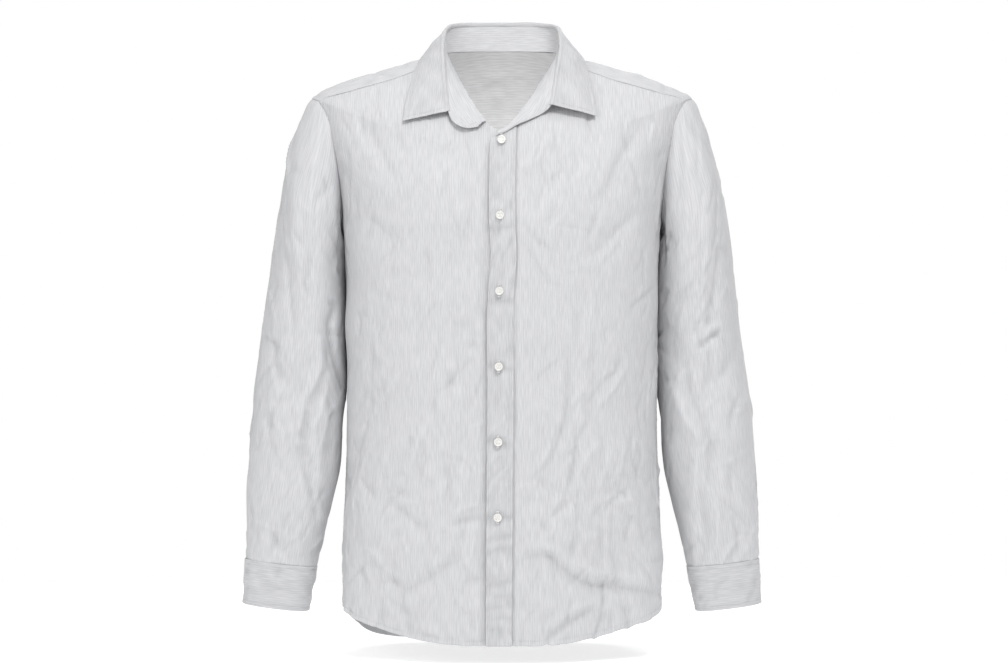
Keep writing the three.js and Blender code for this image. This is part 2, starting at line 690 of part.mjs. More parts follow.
function sleeveGrid(left) {
  const side = left ? 1 : -1;
  const loop = armholeLoop(left).map((point) => new THREE.Vector3(point.x * side, point.y, point.z));
  const first = sleeveRings[0];
  const middle = new THREE.Vector3((first.outX + first.inX) / 2, 0, (first.outZ + first.inZ) / 2);
  const outward = new THREE.Vector3(first.outX, 0, first.outZ).sub(middle);
  let last = 0;
  const turns = loop.map((point) => {
    const along = point.clone().sub(middle).setY(0).dot(outward) / outward.lengthSq();
    const across = ((first.frontY + first.backY) / 2 - point.y) / ((first.backY - first.frontY) / 2);
    let turn = THREE.MathUtils.radToDeg(Math.atan2(across, along));
    if (turn < last - 180) turn += 360; // past the inner side the turn goes on upwards
    last = turn;
    return turn;
  });
  const grid = [];
  for (let i = 0; i <= sleeveRows; i += 1) {
    const run = (i / sleeveRows) ** 1.15;
    const own = THREE.MathUtils.smoothstep(run, 0, 2.5 * headRun);
    const head = 1 - THREE.MathUtils.smoothstep(run, 0, headRun);
    grid.push(loop.map((point, j) => {
      const even = 360 * j / loop.length;
      const turn = lerp(turns[j], even, own);
      const place = i === 0 ? point.clone() : sleevePoint(turn, run);
      if (i > 0) place.add(point.clone().sub(bareSleeve(turns[j], 0)).multiplyScalar(head));
      return new THREE.Vector3(place.x * side, place.y, place.z);
    }));
  }
  return grid;
}

// ---- making the body and the sleeves, with their shared mitres at the armholes ----

const leftSleeve = { grid: sleeveGrid(true) };
leftSleeve.normals = gridNormals(leftSleeve.grid, true, false);
const rightSleeve = { grid: sleeveGrid(false) };
rightSleeve.normals = gridNormals(rightSleeve.grid, true, true);

// Both cloths at an armhole step inwards along one direction, so their walls meet without crossing.
function mitre(left) {
  const sleeve = left ? leftSleeve : rightSleeve;
  const front = left ? leftFront : rightFront;
  const column = left ? 0 : backColumns;
  const edges = [
    { panel: front, column: left ? frontColumns : 0, from: sideRows },
    { panel: back, column, from: sideRows },
    { panel: yoke, column, from: 0 },
  ];
  armholeLoop(left).forEach((point, j) => {
    const meeting = [];
    for (const edge of edges) {
      for (let i = edge.from; i < edge.panel.grid.length; i += 1) {
        if (edge.panel.grid[i][edge.column].distanceTo(point) < 0.01) {
          meeting.push(edge.panel.normals[i][edge.column]);
        }
      }
    }
    const shared = sleeve.normals[0][j].clone();
    for (const normal of meeting) shared.addScaledVector(normal, 1 / meeting.length);
    shared.normalize();
    for (const normal of [sleeve.normals[0][j], ...meeting]) normal.copy(shared);
  });
}
mitre(true);
mitre(false);

piece('front_left', wall(leftFront.grid, leftFront.normals, cloth));
piece('front_right', wall(rightFront.grid, rightFront.normals, cloth));
piece('back', wall(back.grid, back.normals, cloth));
piece('yoke', wall(yoke.grid, yoke.normals, cloth));
piece('sleeve_left', wall(leftSleeve.grid, leftSleeve.normals, cloth, { around: true }));
piece('sleeve_right', wall(rightSleeve.grid, rightSleeve.normals, cloth, { around: true, flip: true }));

// ---- placket ----

const onPanel = stripLift + strip; // outer face of a strip that lies on a panel

// Where the placket's middle line has leant to at a level.
const placketShift = (level) => placketLean * (1 - level / neckSeam);

// The placket ends under the band, and in front of it on the slant of the neck opening.
const placketTop = [
  { x: placketLeft, z: -106 },
  { x: -4, z: -99 },
  { x: 6, z: -94 },
  { x: placketRight, z: -87 },
];
function placketWall() {
  const tops = placketTop.map(({ x, z }) => ({ x, level: levelAt(x, z) }));
  const grid = [];
  for (let i = 0; i <= placketRows; i += 1) {
    grid.push(tops.map((top, j) => {
      const level = top.level * i / placketRows;
      const x = lerp(placketLeft, placketRight, j / placketColumns);
      const seat = lerp(x, top.x, i / placketRows) + placketShift(level);
      return body(angleAt(seat, level), level, onPanel);
    }));
  }
  return wall(grid, gridNormals(grid), strip);
}
piece('placket', placketWall());

// ---- collar ----

const lean = (angle) => (angle > 0 ? collarLean * Math.sin(radians(angle)) ** 2 : 0);

// The stations of one side: 1 is the left side, -1 the right.
function sideStations(side) {
  const ends = side > 0 ? bandEnds.left : bandEnds.right;
  const raised = (point, row) => new THREE.Vector3(
    point.x * side + lean(row.angle), point.y, point.z + (side > 0 ? row.raise : 0));
  return [
    ...collarStations.map((row) => ({
      angle: row.angle,
      roll: raised(row.roll, row),
      edge: layOn(raised(row.edge, row), collarLift + strip),
    })),
    ...ends.map(({ angle, x, z }) => ({ angle, roll: onFront(x, z, collarLift) })),
  ];
}

// A station at a place that counts from the middle of the back, positive to the left.
function stationAt(stations, place) {
  const at = Math.abs(place);
  const value = (rows, read) => alongRows(rows, rows.map((row, i) => i), read, at);
  const point = (rows, key) => new THREE.Vector3(...['x', 'y', 'z'].map((axis) => (
    value(rows, (row) => row[key][axis]))));
  const angle = value(stations, (row) => row.angle);
  const bodyAngle = place < 0 ? 180 - angle : angle;
  return {
    neck: body(bodyAngle, neckSeam, bandSeat),
    belly: skinNormal(bareSkin, bodyAngle, neckSeam - 1, 0.2, 0.5)
      .multiplyScalar(bandBelly * Math.max(0, Math.sin(radians(angle)))),
    roll: point(stations, 'roll'),
    edge: point(stations.filter((row) => row.edge), 'edge'),
  };
}

const leafEnd = collarStations.length - 1;
const stationStep = 0.5;
const leftStations = sideStations(1);
const rightStations = sideStations(-1);

// Stations from the front end on the left round the back to the front end on the right.
function stationsBetween(first, last) {
  const stations = [];
  for (let place = first; place >= last; place -= stationStep) {
    stations.push(stationAt(place < 0 ? rightStations : leftStations, place));
  }
  return stations;
}

function bandGrid(stations) {
  const grid = [];
  for (let i = 0; i <= bandRows; i += 1) {
    const share = i / bandRows;
    grid.push(stations.map(({ neck, roll, belly }) => {
      const foot = neck.clone().add(roll.clone().sub(neck).setLength(bandSeat));
      return foot.lerp(roll, share).addScaledVector(belly, Math.sin(Math.PI * share));
    }));
  }
  return grid;
}
const bandStations = stationsBetween(leftStations.length - 1, 1 - rightStations.length);
const band = bandGrid(bandStations);
piece('collar_band', wall(band, gridNormals(band), strip));

// The leaf leaves the band's top edge, turns over it and runs down to its own edge. Where the
// collar stands it turns right over; where it lies open on the chest it hardly turns.
function leafWall() {
  const stations = stationsBetween(leafEnd, -leafEnd);
  const bandOut = gridNormals([stations.map(({ neck }) => neck), stations.map(({ roll }) => roll)])[1];
  const columns = stations.map(({ neck, roll, edge }, j) => {
    const out = bandOut[j];
    const up = roll.clone().sub(neck).normalize();
    const top = roll.clone().addScaledVector(out, -strip / 2);
    const away = edge.clone().sub(top);
    const fold = Math.atan2(away.dot(out), away.dot(up));
    const facing = (turn) => (
      up.clone().multiplyScalar(Math.sin(turn)).addScaledVector(out, -Math.cos(turn)));
    const heading = up.clone().multiplyScalar(Math.cos(fold)).addScaledVector(out, Math.sin(fold));
    const crest = top.clone().addScaledVector(up, leafClear).addScaledVector(facing(fold / 2), strip);
    const beside = strip + (strip / 2 + leafClear) * Math.sin(Math.max(0, fold) / 2) ** 2;
    const shoulder = top.clone().addScaledVector(heading, strip / 2 + 3 * leafClear)
      .addScaledVector(facing(fold), beside);
    const column = [{ point: edge, normal: facing(fold) }];
    for (let i = 1; i < leafRows; i += 1) {
      const rise = i / leafRows;
      const belly = leafBelly * Math.sin(Math.PI * rise);
      column.push({
        point: edge.clone().lerp(shoulder, rise).addScaledVector(facing(fold), belly),
        normal: facing(fold),
      });
    }
    column.push({ point: shoulder, normal: facing(fold) }, { point: crest, normal: facing(fold / 2) });
    return column;
  });
  const rows = columns[0].map((cell, i) => columns.map((column) => column[i]));
  return wall(rows.map((row) => row.map(({ point }) => point)),
    rows.map((row) => row.map(({ normal }) => normal)), strip);
}
piece('collar_leaf', leafWall());

// ---- cuffs and sleeve plackets ----

const mirrorX = (point, side) => new THREE.Vector3(point.x * side, point.y, point.z);

const bareCuff = (turn, run) => tubePoint(
  (read) => lerp(read(cuffRings[0]), read(cuffRings[1]), run), turn);

// A cuff wraps once round the wrist and laps over itself at the back by cuffLap.degrees, where
// its turn has passed 360 degrees from its start.
function cuffPoint(turn, run) {
  const lapStart = cuffLap.turn + 360 - cuffLap.degrees;
  const lift = (strip + stripLift) * THREE.MathUtils.smoothstep(turn, lapStart, cuffLap.turn + 360);
  return bareCuff(turn, run).addScaledVector(tubeNormal(bareCuff, turn, run), lift);
}

function cuffWall(side) {
  const grid = [];
  for (let i = 0; i <= cuffRows; i += 1) {
    const row = [];
    for (let j = 0; j <= cuffColumns; j += 1) {
      const turn = cuffLap.turn + (360 + cuffLap.degrees) * j / cuffColumns;
      row.push(mirrorX(cuffPoint(turn, i / cuffRows), side));
    }
    grid.push(row);
  }
  return wall(grid, gridNormals(grid, false, side < 0), strip, { flip: side < 0 });
}

function sleevePlacketWall(side) {
  const grid = [];
  for (let i = 0; i <= sleevePlacketRows; i += 1) {
    const run = 1 - (sleevePlacket.length * (1 - i / sleevePlacketRows)) / sleeveLength;
    const row = [];
    for (let j = 0; j <= sleevePlacketColumns; j += 1) {
      const share = j / sleevePlacketColumns - 0.5;
      const turn = sleevePlacket.turn + sleevePlacket.width * share / sleeveStep;
      row.push(mirrorX(sleevePoint(turn, run, onPanel), side));
    }
    grid.push(row);
  }
  return wall(grid, gridNormals(grid, false, side < 0), strip, { flip: side < 0 });
}

for (const [name, side] of [['left', 1], ['right', -1]]) {
  piece(`cuff_${name}`, cuffWall(side));
  piece(`sleeve_placket_${name}`, sleevePlacketWall(side));
}

// ---- buttons ----

// A flat button with four holes, lying on the plane of X and Y.
function buttonGeometry() {
  const disc = (Outline, x, y, radius, sides) => {
    const points = [];
    for (let i = 0; i < sides; i += 1) {
      const turn = 2 * Math.PI * i / sides;
      points.push(new THREE.Vector2(x + radius * Math.cos(turn), y + radius * Math.sin(turn)));
    }
    return new Outline(points);
  };
  const face = disc(THREE.Shape, 0, 0, buttonAcross / 2, buttonSides);
  for (const x of [-buttonHoleSpread, buttonHoleSpread]) {
    for (const y of [-buttonHoleSpread, buttonHoleSpread]) {
      face.holes.push(disc(THREE.Path, x, y, buttonHoleAcross / 2, holeSides));
    }
  }
  return new THREE.ExtrudeGeometry(face, { depth: buttonThick, bevelEnabled: false });
}

// Sews a button on at a point, with its back there and its face along a direction.
function button(name, point, facing) {
  const mesh = piece(name, buttonGeometry(), 0xf4f3ef, 0.35);
  mesh.position.copy(point).addScaledVector(facing, 2 * seamGap);
  mesh.quaternion.setFromUnitVectors(new THREE.Vector3(0, 0, 1), facing);
}

const bodyFacing = (angle, level) => skinNormal(bareSkin, angle, level, 0.2, 0.5);
for (let i = 0; i < frontButtons; i += 1) {
  const level = levelAt(0, firstButtonZ - i * buttonPitch);
  const angle = angleAt(placketShift(level), level);
  button(`button_${i + 1}`, body(angle, level, onPanel), bodyFacing(angle, level));
}

// The collar button is on the outer face of the right band end, which lies towards the chest.
const { station, row } = collarButtonPlace;
const column = (leftStations.length - 1 + station) / stationStep;
button('collar_button', band[row][column], gridNormals(band)[row][column]);

for (const [name, side] of [['left', 1], ['right', -1]]) {
  const turn = cuffLap.turn + 360 + cuffLap.degrees / 2;
  const facing = mirrorX(tubeNormal(bareCuff, turn, 0.5), side);
  button(`cuff_button_${name}`, mirrorX(cuffPoint(turn, 0.5), side), facing);
}

export default shirt;
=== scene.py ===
# Looks for a crumpled long-sleeved button-up shirt in fine-striped cotton.
# The tables are in millimetres, +Z up; the front faces -Y and the wearer's left side is +X. Every
# cut piece of cloth is a thin shell on the form of its own solid, with its creases placed one by one.

import math

import bpy
import numpy as np
from mathutils import Matrix, Vector


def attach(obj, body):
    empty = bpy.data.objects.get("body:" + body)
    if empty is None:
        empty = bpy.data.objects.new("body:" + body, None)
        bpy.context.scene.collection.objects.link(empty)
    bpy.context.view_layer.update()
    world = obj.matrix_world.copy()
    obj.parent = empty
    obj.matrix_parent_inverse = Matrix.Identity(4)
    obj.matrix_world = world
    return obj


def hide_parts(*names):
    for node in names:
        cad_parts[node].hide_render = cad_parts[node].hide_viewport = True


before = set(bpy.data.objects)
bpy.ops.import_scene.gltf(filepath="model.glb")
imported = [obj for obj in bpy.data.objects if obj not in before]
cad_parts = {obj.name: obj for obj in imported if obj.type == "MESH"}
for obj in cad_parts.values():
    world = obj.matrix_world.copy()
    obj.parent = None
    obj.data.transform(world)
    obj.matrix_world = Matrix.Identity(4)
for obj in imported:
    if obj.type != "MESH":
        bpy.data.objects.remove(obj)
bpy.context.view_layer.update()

MM = 0.001

# ---- driving dimensions, the same as the solids' ----

CLOTH = 0.7                   # thickness that shirting shows, with its crumple
STRIP = 1.1                   # a folded and pressed strip: placket, collar, cuff
ON_PANEL = 2.6                # outer face of the placket above the fronts
UNDERARM, NECK_SEAM = 467, 809           # levels: lengths up the side from the hem
FRONT_EDGE, FRONT_OVERLAP = 9, 8
PLACKET_LEFT, PLACKET_RIGHT, PLACKET_LEAN = -13, 17.5, -6
PLACKET_WIDE = PLACKET_RIGHT - PLACKET_LEFT
BUTTON_ACROSS, BUTTON_THICK, BUTTON_LIFT = 10, 2.2, 0.6
HOLE_ACROSS, HOLE_SPREAD = 1.3, 1.5
FIRST_BUTTON_Z, BUTTON_PITCH, FRONT_BUTTONS = -107, 90.7, 6
BUTTONHOLE = 13.2             # length of its slit

# How far each line of stitches runs from its edge, and how long a stitch is.
HEM_STITCH, ARM_STITCH, TIP_STITCH, FRONT_YOKE_STITCH, YOKE_STITCH = 5.6, 7.0, 8.0, 1.2, 2.6
PLACKET_STITCH, LEAF_STITCH, BAND_STITCH, CUFF_STITCH, SLIT_STITCH = 3.4, 5.0, 1.8, 4.6, 2.0
STITCH = 2.7
SEAM_END = 4                  # how far from its ends a line of stitches stops

# The body's rings from the hem up to the neck seam: its side's x, y, z, then x, y, z, square and
# run of the front's middle, then the same of the back's middle.
BODY_RINGS = np.array([
    [199.5, 2, -672, 0, -117, -716, 2.5, 1.8, 0, 119, -735, 2.5, 1],
    [199, 1, -610, 0, -120, -630, 2.5, 1.8, 0, 116, -640, 2.5, 1.1],
    [196, 0, -540, 0, -123, -545, 2.5, 1.8, 0, 112, -548, 2.5, 1.1],
    [193, 0, -440, 0, -126, -440, 2.6, 1.8, 0, 108, -440, 2.5, 1.1],
    [194, 1, -320, 0, -129, -320, 2.7, 1.8, 0, 112, -320, 2.5, 1.1],
    [197, 5, -205, 0, -130, -212, 2.7, 1.8, 0, 123, -205, 2.5, 1.1],
    [205, 8, -150, 0, -127, -172, 2.5, 1.8, 0, 127, -150, 2.4, 1.1],
    [219, 12, -98, 0, -123, -148, 2.15, 1.8, 0, 125, -104, 2.2, 1.1],
    [232, 14, -66, 0, -120, -134, 1.8, 1.8, 0, 119, -74, 2.05, 1.1],
    [239, 15, -46, 0, -118, -124, 1.65, 1.8, 0, 112, -52, 1.95, 1.1],
    [222, 15, -34, 0, -116.5, -119, 1.7, 1.8, 0, 106, -38, 2, 1.1],
    [192, 15, -21.5, -1, -115, -114, 1.75, 1.8, 0, 100, -24, 2.15, 1.1],
    [148, 15, -8.5, -2, -113, -107, 1.75, 1.8, 0, 90, -8, 2.4, 1],
    [112, 15, 2, -3, -111, -101, 1.65, 1.8, 0, 80, 7, 2.7, 0.9],
    [73, 15, 9, -4, -109, -94, 1.5, 1.75, 0, 70, 20, 3, 0.8],
], float)
SIDE_STEPS = np.hypot(np.diff(BODY_RINGS[:, 0]), np.diff(BODY_RINGS[:, 2]))
RING_LEVELS = np.concatenate([[0], np.cumsum(SIDE_STEPS)])
SHOULDER = BODY_RINGS[:8:-1]                 # the rings on the shoulder's ridge, from the neck out

# The big soft folds: angle and level of both ends, width, height.
BODY_FOLDS = [
    (88, 118, 50, 92, 26, 4.5), (70, 130, 30, 60, 30, -4), (48, 20, 20, 66, 28, 4),
    (118, 40, 150, 130, 30, 3.5), (140, 250, 165, 120, 28, -3), (30, 430, 62, 560, 26, 3),
    (150, 430, 118, 560, 26, 3), (240, 90, 300, 150, 30, 4), (225, 300, 285, 220, 34, 4.5),
    (315, 330, 270, 270, 32, -4), (214, 470, 236, 380, 28, 4), (326, 470, 304, 380, 28, 4),
]
TAIL_ANGLE, TAIL_WIDE, TAIL_DEEP, TAIL_FADE = 218, 26, 7, 90
HEM_FLUTES = [(3.5, 5, 0), (2.5, 9, 180)]   # how deep, how many round the body, turned by
FLUTE_FADE = 190
GIRTH_STEP = 3                               # millimetres round the body for each degree

# Seams of the left side as angle and level on the body; the right side mirrors them.
FRONT_YOKE_SEAM = np.array([(15, 809), (20, 765), (21.5, 720), (20, 672), (12, 632)], float)
FRONT_ARMHOLE = np.array([(0, 467), (11, 484), (17, 520), (20, 564), (20, 596), (17, 620),
                          (12, 632)], float)
BACK_ARMHOLE = np.array([(0, 467), (-14, 484), (-22, 524), (-24, 560), (-24, 590)], float)
YOKE_ARMHOLE = np.array([(-24, 590), (-20, 612), (-11, 627), (0, 632), (12, 632)], float)
BACK_YOKE_LEVEL = 610
SIDE_ROWS, ARMHOLE_ROWS, FRONT_COLUMNS, NECK_COLUMNS = 13, 8, 10, 10

# A sleeve's rings from the armhole to the cuff: outX, outZ, inX, inZ, frontY, backY.
SLEEVE_RINGS = np.array([
    [239, -48, 198, -206, -42, 70], [250, -68, 199.5, -214, -51, 75],
    [260, -94, 200, -225, -57, 80], [271, -140, 200.5, -243, -59, 82],
    [280, -190, 200.5, -267, -60, 82], [288, -245, 200, -302, -58, 82],
    [297, -310, 199.5, -347, -54, 80], [305, -375, 199, -400, -52, 76],
    [312, -435, 199.5, -453, -52, 68], [317, -490, 203, -503, -50, 58],
    [319, -540, 213, -550, -48, 47], [319.5, -585, 223, -595, -45, 37],
    [319.5, -619, 231, -629, -41, 29],
], float)
CUFF_RINGS = np.array([[321, -619.3, 230, -629.3, -42, 30], [324, -674, 241, -684, -39, 29]], float)
SQUARE_OUT, SQUARE_IN = 2.1, 2.7
HEAD_RUN = 0.16                # share of its length in which the sleeve takes its own outline
HEAD_DROP = 160                # from there down the stripes follow the sleeve
ELBOW = (250, 330)             # stretch in which the sleeve comes away from the body's side
SLEEVE_LOOP = 22               # stops round the armhole
SLEEVE_STEP = 1.1
# The big soft folds of a sleeve: turn and run of both ends, width, height.
SLEEVE_FOLDS = [
    (60, 0.12, 110, 0.4, 24, 3.5), (150, 0.36, 70, 0.52, 22, 4), (40, 0.5, 120, 0.62, 20, -4),
    (130, 0.6, 60, 0.74, 20, 4), (80, 0.76, 95, 0.97, 18, 3), (330, 0.3, 250, 0.42, 24, 4),
    (240, 0.46, 320, 0.6, 22, -4), (300, 0.66, 275, 0.95, 20, 3.5),
]
SLIT_TURN, SLIT_LENGTH, SLIT_WIDTH, LAP_DEGREES = 262, 125, 24, 38

# The collar's stations from the middle of the back: angle, raise of the left side, then the roll's
# x, y, z and the free edge's x, y, z.
COLLAR_STATIONS = np.array([
    [-90, 0, 0, 74, 55.5, 0, 86, 11], [-62, 0, 39, 71, 55, 46, 83, 10],
    [-40, 0, 61, 56.5, 52, 74, 66, 9], [-20, 0, 70.5, 31, 44.5, 89, 42, 6],
    [0, 0, 72.5, 2, 33.5, 98, 10, 3], [20, 0, 73, -32, 16, 104.5, -24, -9],
    [38, 1, 70, -62, -11, 110, -50, -28], [52, 4, 66.5, -81, -42, 115, -72, -52],
    [63, 8, 62, -93, -70, 118, -90, -80],
], float)
# Free edge of the band in front of the leaf on each side: angle, x, z.
BAND_ENDS = {
    -1: np.array([(66, -60, -83), (70, -53, -89), (74, -40, -93), (77, -28.5, -91)], float),
    1: np.array([(68, 50, -73), (74, 33, -82), (80, 18, -88.5), (86, 4, -97),
                 (89, -7, -101.5)], float),
}
COLLAR_LEAN, COLLAR_LIFT, BAND_SEAT, BAND_BELLY = -3.5, 3.6, 0.5, 2.2
LEAF_CLEAR, LEAF_BELLY, SOLID_STRIP = 1, 1.2, 1.5


# ---- curves and the skin of the body ----

def along_rows(rows, stops, at):
    """Monotone cubic through the rows of a table that lie at the stops."""
    at = np.clip(np.asarray(at, float), stops[0], stops[-1])
    rise = np.diff(rows, axis=0) / np.diff(stops)[:, None]
    before, after = rise[:-1], rise[1:]
    turns = before * after <= 0
    slope = np.concatenate([rise[:1], np.where(
        turns, 0, 2 * before * after / np.where(turns, 1, before + after)), rise[-1:]])
    i = np.clip(np.searchsorted(stops, at, side="left") - 1, 0, len(stops) - 2)
    width = (stops[i + 1] - stops[i])[..., None]
    t = (at - stops[i])[..., None] / width
    return ((1 + 2 * t) * (1 - t) ** 2 * rows[i] + t * (1 - t) ** 2 * width * slope[i]
            + t * t * (3 - 2 * t) * rows[i + 1] + t * t * (t - 1) * width * slope[i + 1])


def smoothstep(value, low, high):
    t = np.clip((value - low) / (high - low), 0, 1)
    return t * t * (3 - 2 * t)


def bell(value, middle, wide):
    """1 at the middle, dying out over the width on both sides of it."""
    return np.exp(-((value - middle) / wide) ** 2)


def unit(vectors):
    return vectors / np.maximum(np.linalg.norm(vectors, axis=-1, keepdims=True), 1e-9)


def bare_skin(angle, level):
    """The smooth body, without folds."""
    angle, level = np.broadcast_arrays(np.asarray(angle, float), np.asarray(level, float))
    ring = along_rows(BODY_RINGS, RING_LEVELS, level)
    turn = np.radians(angle)
    sin, cos = np.sin(turn), np.cos(turn)
    half = np.where((sin >= 0)[..., None], ring[..., 3:8], ring[..., 8:13])
    square = half[..., 3]
    along, across = np.abs(cos), np.abs(sin)
    reach = (along ** square + across ** square) ** (-1 / square)
    to_middle = across * reach
    low = np.clip(1 - level / TAIL_FADE, 0, None) ** 1.5
    drop = TAIL_DEEP * low * bell(angle % 360, TAIL_ANGLE, TAIL_WIDE)
    return np.stack([
        ring[..., 0] * np.sign(cos) * along * reach + half[..., 0] * to_middle ** 2,
        ring[..., 1] + (half[..., 1] - ring[..., 1]) * to_middle,
        ring[..., 2] + (half[..., 2] - ring[..., 2]) * to_middle ** half[..., 4] - drop,
    ], -1)


def skin_normal(skin, u, v, step_u, step_v):
    """Outward direction of a skin whose second value runs upwards."""
    across = skin(u + step_u, v) - skin(u - step_u, v)
    up = skin(u, v + step_v) - skin(u, v - step_v)
    return unit(np.cross(up, across))


def fold_heights(folds, place, scale):
    """Height of the big folds at places in millimetres."""
    height = np.zeros(place.shape[:-1])
    for a, b, to_a, to_b, wide, deep in folds:
        start, end = np.array([a, b]) * scale, np.array([to_a, to_b]) * scale
        line = end - start
        share = (place - start) @ line / (line @ line)
        nearest = start + np.clip(share, 0, 1)[..., None] * line
        away = np.linalg.norm(place - nearest, axis=-1) / wide
        height += deep * np.exp(-away ** 2 * 2) * np.sin(np.pi * np.clip(0.15 + 0.7 * share, 0, 1))
    return height


def body_relief(angle, level):
    """Height of the big folds and of the hem's flutes, none on the middle line of the front."""
    at = angle % 360
    height = fold_heights(BODY_FOLDS, np.stack([at * GIRTH_STEP, level], -1), (GIRTH_STEP, 1))
    fade = np.clip(1 - level / FLUTE_FADE, 0, None) ** 1.5
    for deep, count, turn in HEM_FLUTES:
        height += deep * fade * np.sin(np.radians(at * count + turn))
    return height * np.clip(np.abs(at - 90) / 12, 0, 1)


def body(angle, level, out=0):
    """The body with its big folds, or a skin that far out from it."""
    angle, level = np.broadcast_arrays(np.asarray(angle, float), np.asarray(level, float))
    normal = skin_normal(bare_skin, angle, level, 0.2, 0.5)
    return bare_skin(angle, level) + normal * (body_relief(angle, level) + out)[..., None]


def angle_at(x, level):
    """The angle on the front at which a ring is x from the middle."""
    x, level = np.broadcast_arrays(np.asarray(x, float), np.asarray(level, float))
    low, high = np.zeros(x.shape), np.full(x.shape, 180.0)
    for _ in range(26):
        middle = (low + high) / 2
        beyond = bare_skin(middle, level)[..., 0] > x
        low, high = np.where(beyond, middle, low), np.where(beyond, high, middle)
    return (low + high) / 2


def level_at(x, z):
    """The level at which the front reaches height z, at x from the middle."""
    x, z = np.broadcast_arrays(np.asarray(x, float), np.asarray(z, float))
    low, high = np.zeros(x.shape), np.full(x.shape, float(NECK_SEAM))
    for _ in range(24):
        middle = (low + high) / 2
        above = bare_skin(angle_at(x, middle), middle)[..., 2] > z
        low, high = np.where(above, low, middle), np.where(above, middle, high)
    return (low + high) / 2


def on_front(x, z, out):
    """The place on the front, or out from it, that is seen at x and z."""
    level = level_at(x, z)
    return body(angle_at(x, level), level, out)


def lay_on(guide, out):
    """The place on the body nearest to a guide point."""
    angle, level = (45.0 if guide[1] < 15 else -45.0), 700.0
    if guide[0] < 0:
        angle = 180 - angle
    spans = (45.0, 108.0)
    for _ in range(7):
        angles, levels = np.meshgrid(np.linspace(angle - spans[0], angle + spans[0], 31),
                                     np.linspace(level - spans[1], level + spans[1], 31))
        levels = np.minimum(levels, NECK_SEAM)
        gaps = np.linalg.norm(bare_skin(angles, levels) - guide, axis=-1)
        best = np.unravel_index(np.argmin(gaps), gaps.shape)
        angle, level = angles[best], levels[best]
        spans = (spans[0] / 4, spans[1] / 4)
    return body(angle, level, out)


def cloth_round(skin, middle, angle, level):
    """Level length of cloth from the middle line of a skin to a place, negative before it."""
    shares = np.linspace(0, 1, 15)
    path = middle + (angle - middle)[..., None] * shares
    steps = np.diff(skin(path, level[..., None]), axis=-2)
    return np.hypot(steps[..., 0], steps[..., 1]).sum(-1) * np.sign(angle - middle)


def body_cloth(angle, level, middle):
    """Where a place on the body is in the cloth: across it, and up it."""
    point = bare_skin(angle, level)
    round_it = -cloth_round(bare_skin, middle, angle, level) * (1 if middle > 0 else -1)
    straight = smoothstep(level, UNDERARM, 600)
    across = round_it + (point[..., 0] - round_it) * straight
    return np.stack([across, point[..., 2]], -1)


# ---- creases ----

def add_crease(height, place, deep, wide, through, skew=0.0):
    """Adds one crease along a line through places in the cloth, dying out at both ends."""
    line = np.asarray(through, float)
    reach = 3 * wide
    near = np.all((place > line.min(0) - reach) & (place < line.max(0) + reach), axis=-1)
    points = place[near]
    if not len(points):
        return
    best = np.full(len(points), 1e9)
    along, side = np.zeros(len(points)), np.zeros(len(points))
    passed = 0.0
    for a, b in zip(line, line[1:]):
        run = b - a
        length = np.hypot(*run)
        share = np.clip((points - a) @ run / length ** 2, 0, 1)
        off = points - a - share[:, None] * run
        away = np.hypot(off[:, 0], off[:, 1])
        closer = away < best
        best = np.where(closer, away, best)
        along = np.where(closer, passed + share * length, along)
        side = np.where(closer, np.sign(run[0] * off[:, 1] - run[1] * off[:, 0]), side)
        passed += length
    share = along / passed
    taper = np.clip(4 * share * (1 - share), 0, 1) ** 0.6
    height[near] += deep * taper * np.exp(-(best / (wide * (1 + skew * side))) ** 1.4)


def small_creases(height, place, rng, count, lean, spread, size):
    """Scatters short uneven creases over a stretch of cloth, most of them leaning one way."""
    low, high = place.reshape(-1, 2).min(0), place.reshape(-1, 2).max(0)
    for _ in range(count):
        middle = rng.uniform(low, high)
        turn = math.radians(rng.normal(lean, spread))
        half = rng.uniform(8, 38) * size
        way = np.array([math.sin(turn), math.cos(turn)])
        bow = np.array([way[1], -way[0]]) * rng.normal(0, 0.16) * half
        deep = rng.choice([-1, -1, 1]) * rng.uniform(0.5, 2.1)
        add_crease(height, place, deep, rng.uniform(2.2, 4.6),
                   [middle - way * half, middle + bow, middle + way * half], rng.uniform(-0.5, 0.5))


def waves(place, rng, count, shortest, longest):
    """A soft uneven field of about -1 to 1."""
    field = np.zeros(place.shape[:-1])
    for _ in range(count):
        length, turn = rng.uniform(shortest, longest), rng.uniform(0, math.pi)
        way = np.array([math.cos(turn), math.sin(turn)]) * 2 * math.pi / length
        field += np.sin(place @ way + rng.uniform(0, 2 * math.pi))
    return field / math.sqrt(count / 2)


def crumple(place, rng, ridge, swell, lean=(0.75, 1.25)):
    """The all-over crumple: soft swells, with a web of shallow sharper valleys over them."""
    stretched = place * np.array(lean)
    web = waves(stretched + 9 * np.stack([waves(place, rng, 5, 50, 110),
                                          waves(place, rng, 5, 50, 110)], -1), rng, 7, 46, 95)
    strength = 0.55 + 0.45 * waves(place, rng, 5, 150, 320)
    return (swell * waves(stretched, rng, 9, 85, 190) * 0.6
            + ridge * np.clip(strength, 0.1, 1.3) * (np.minimum(np.abs(web), 1.2) - 0.5))


DEPTH = 2.1                   # how much deeper than its table a crease is pressed in


def press_in(height, place, lines, narrow=0.9):
    """Presses in creases of (height, width, line), each steeper on its other side than the last."""
    for i, (deep, wide, line) in enumerate(lines):
        add_crease(height, place, DEPTH * deep, wide * narrow, line, 0.35 * (-1) ** i)


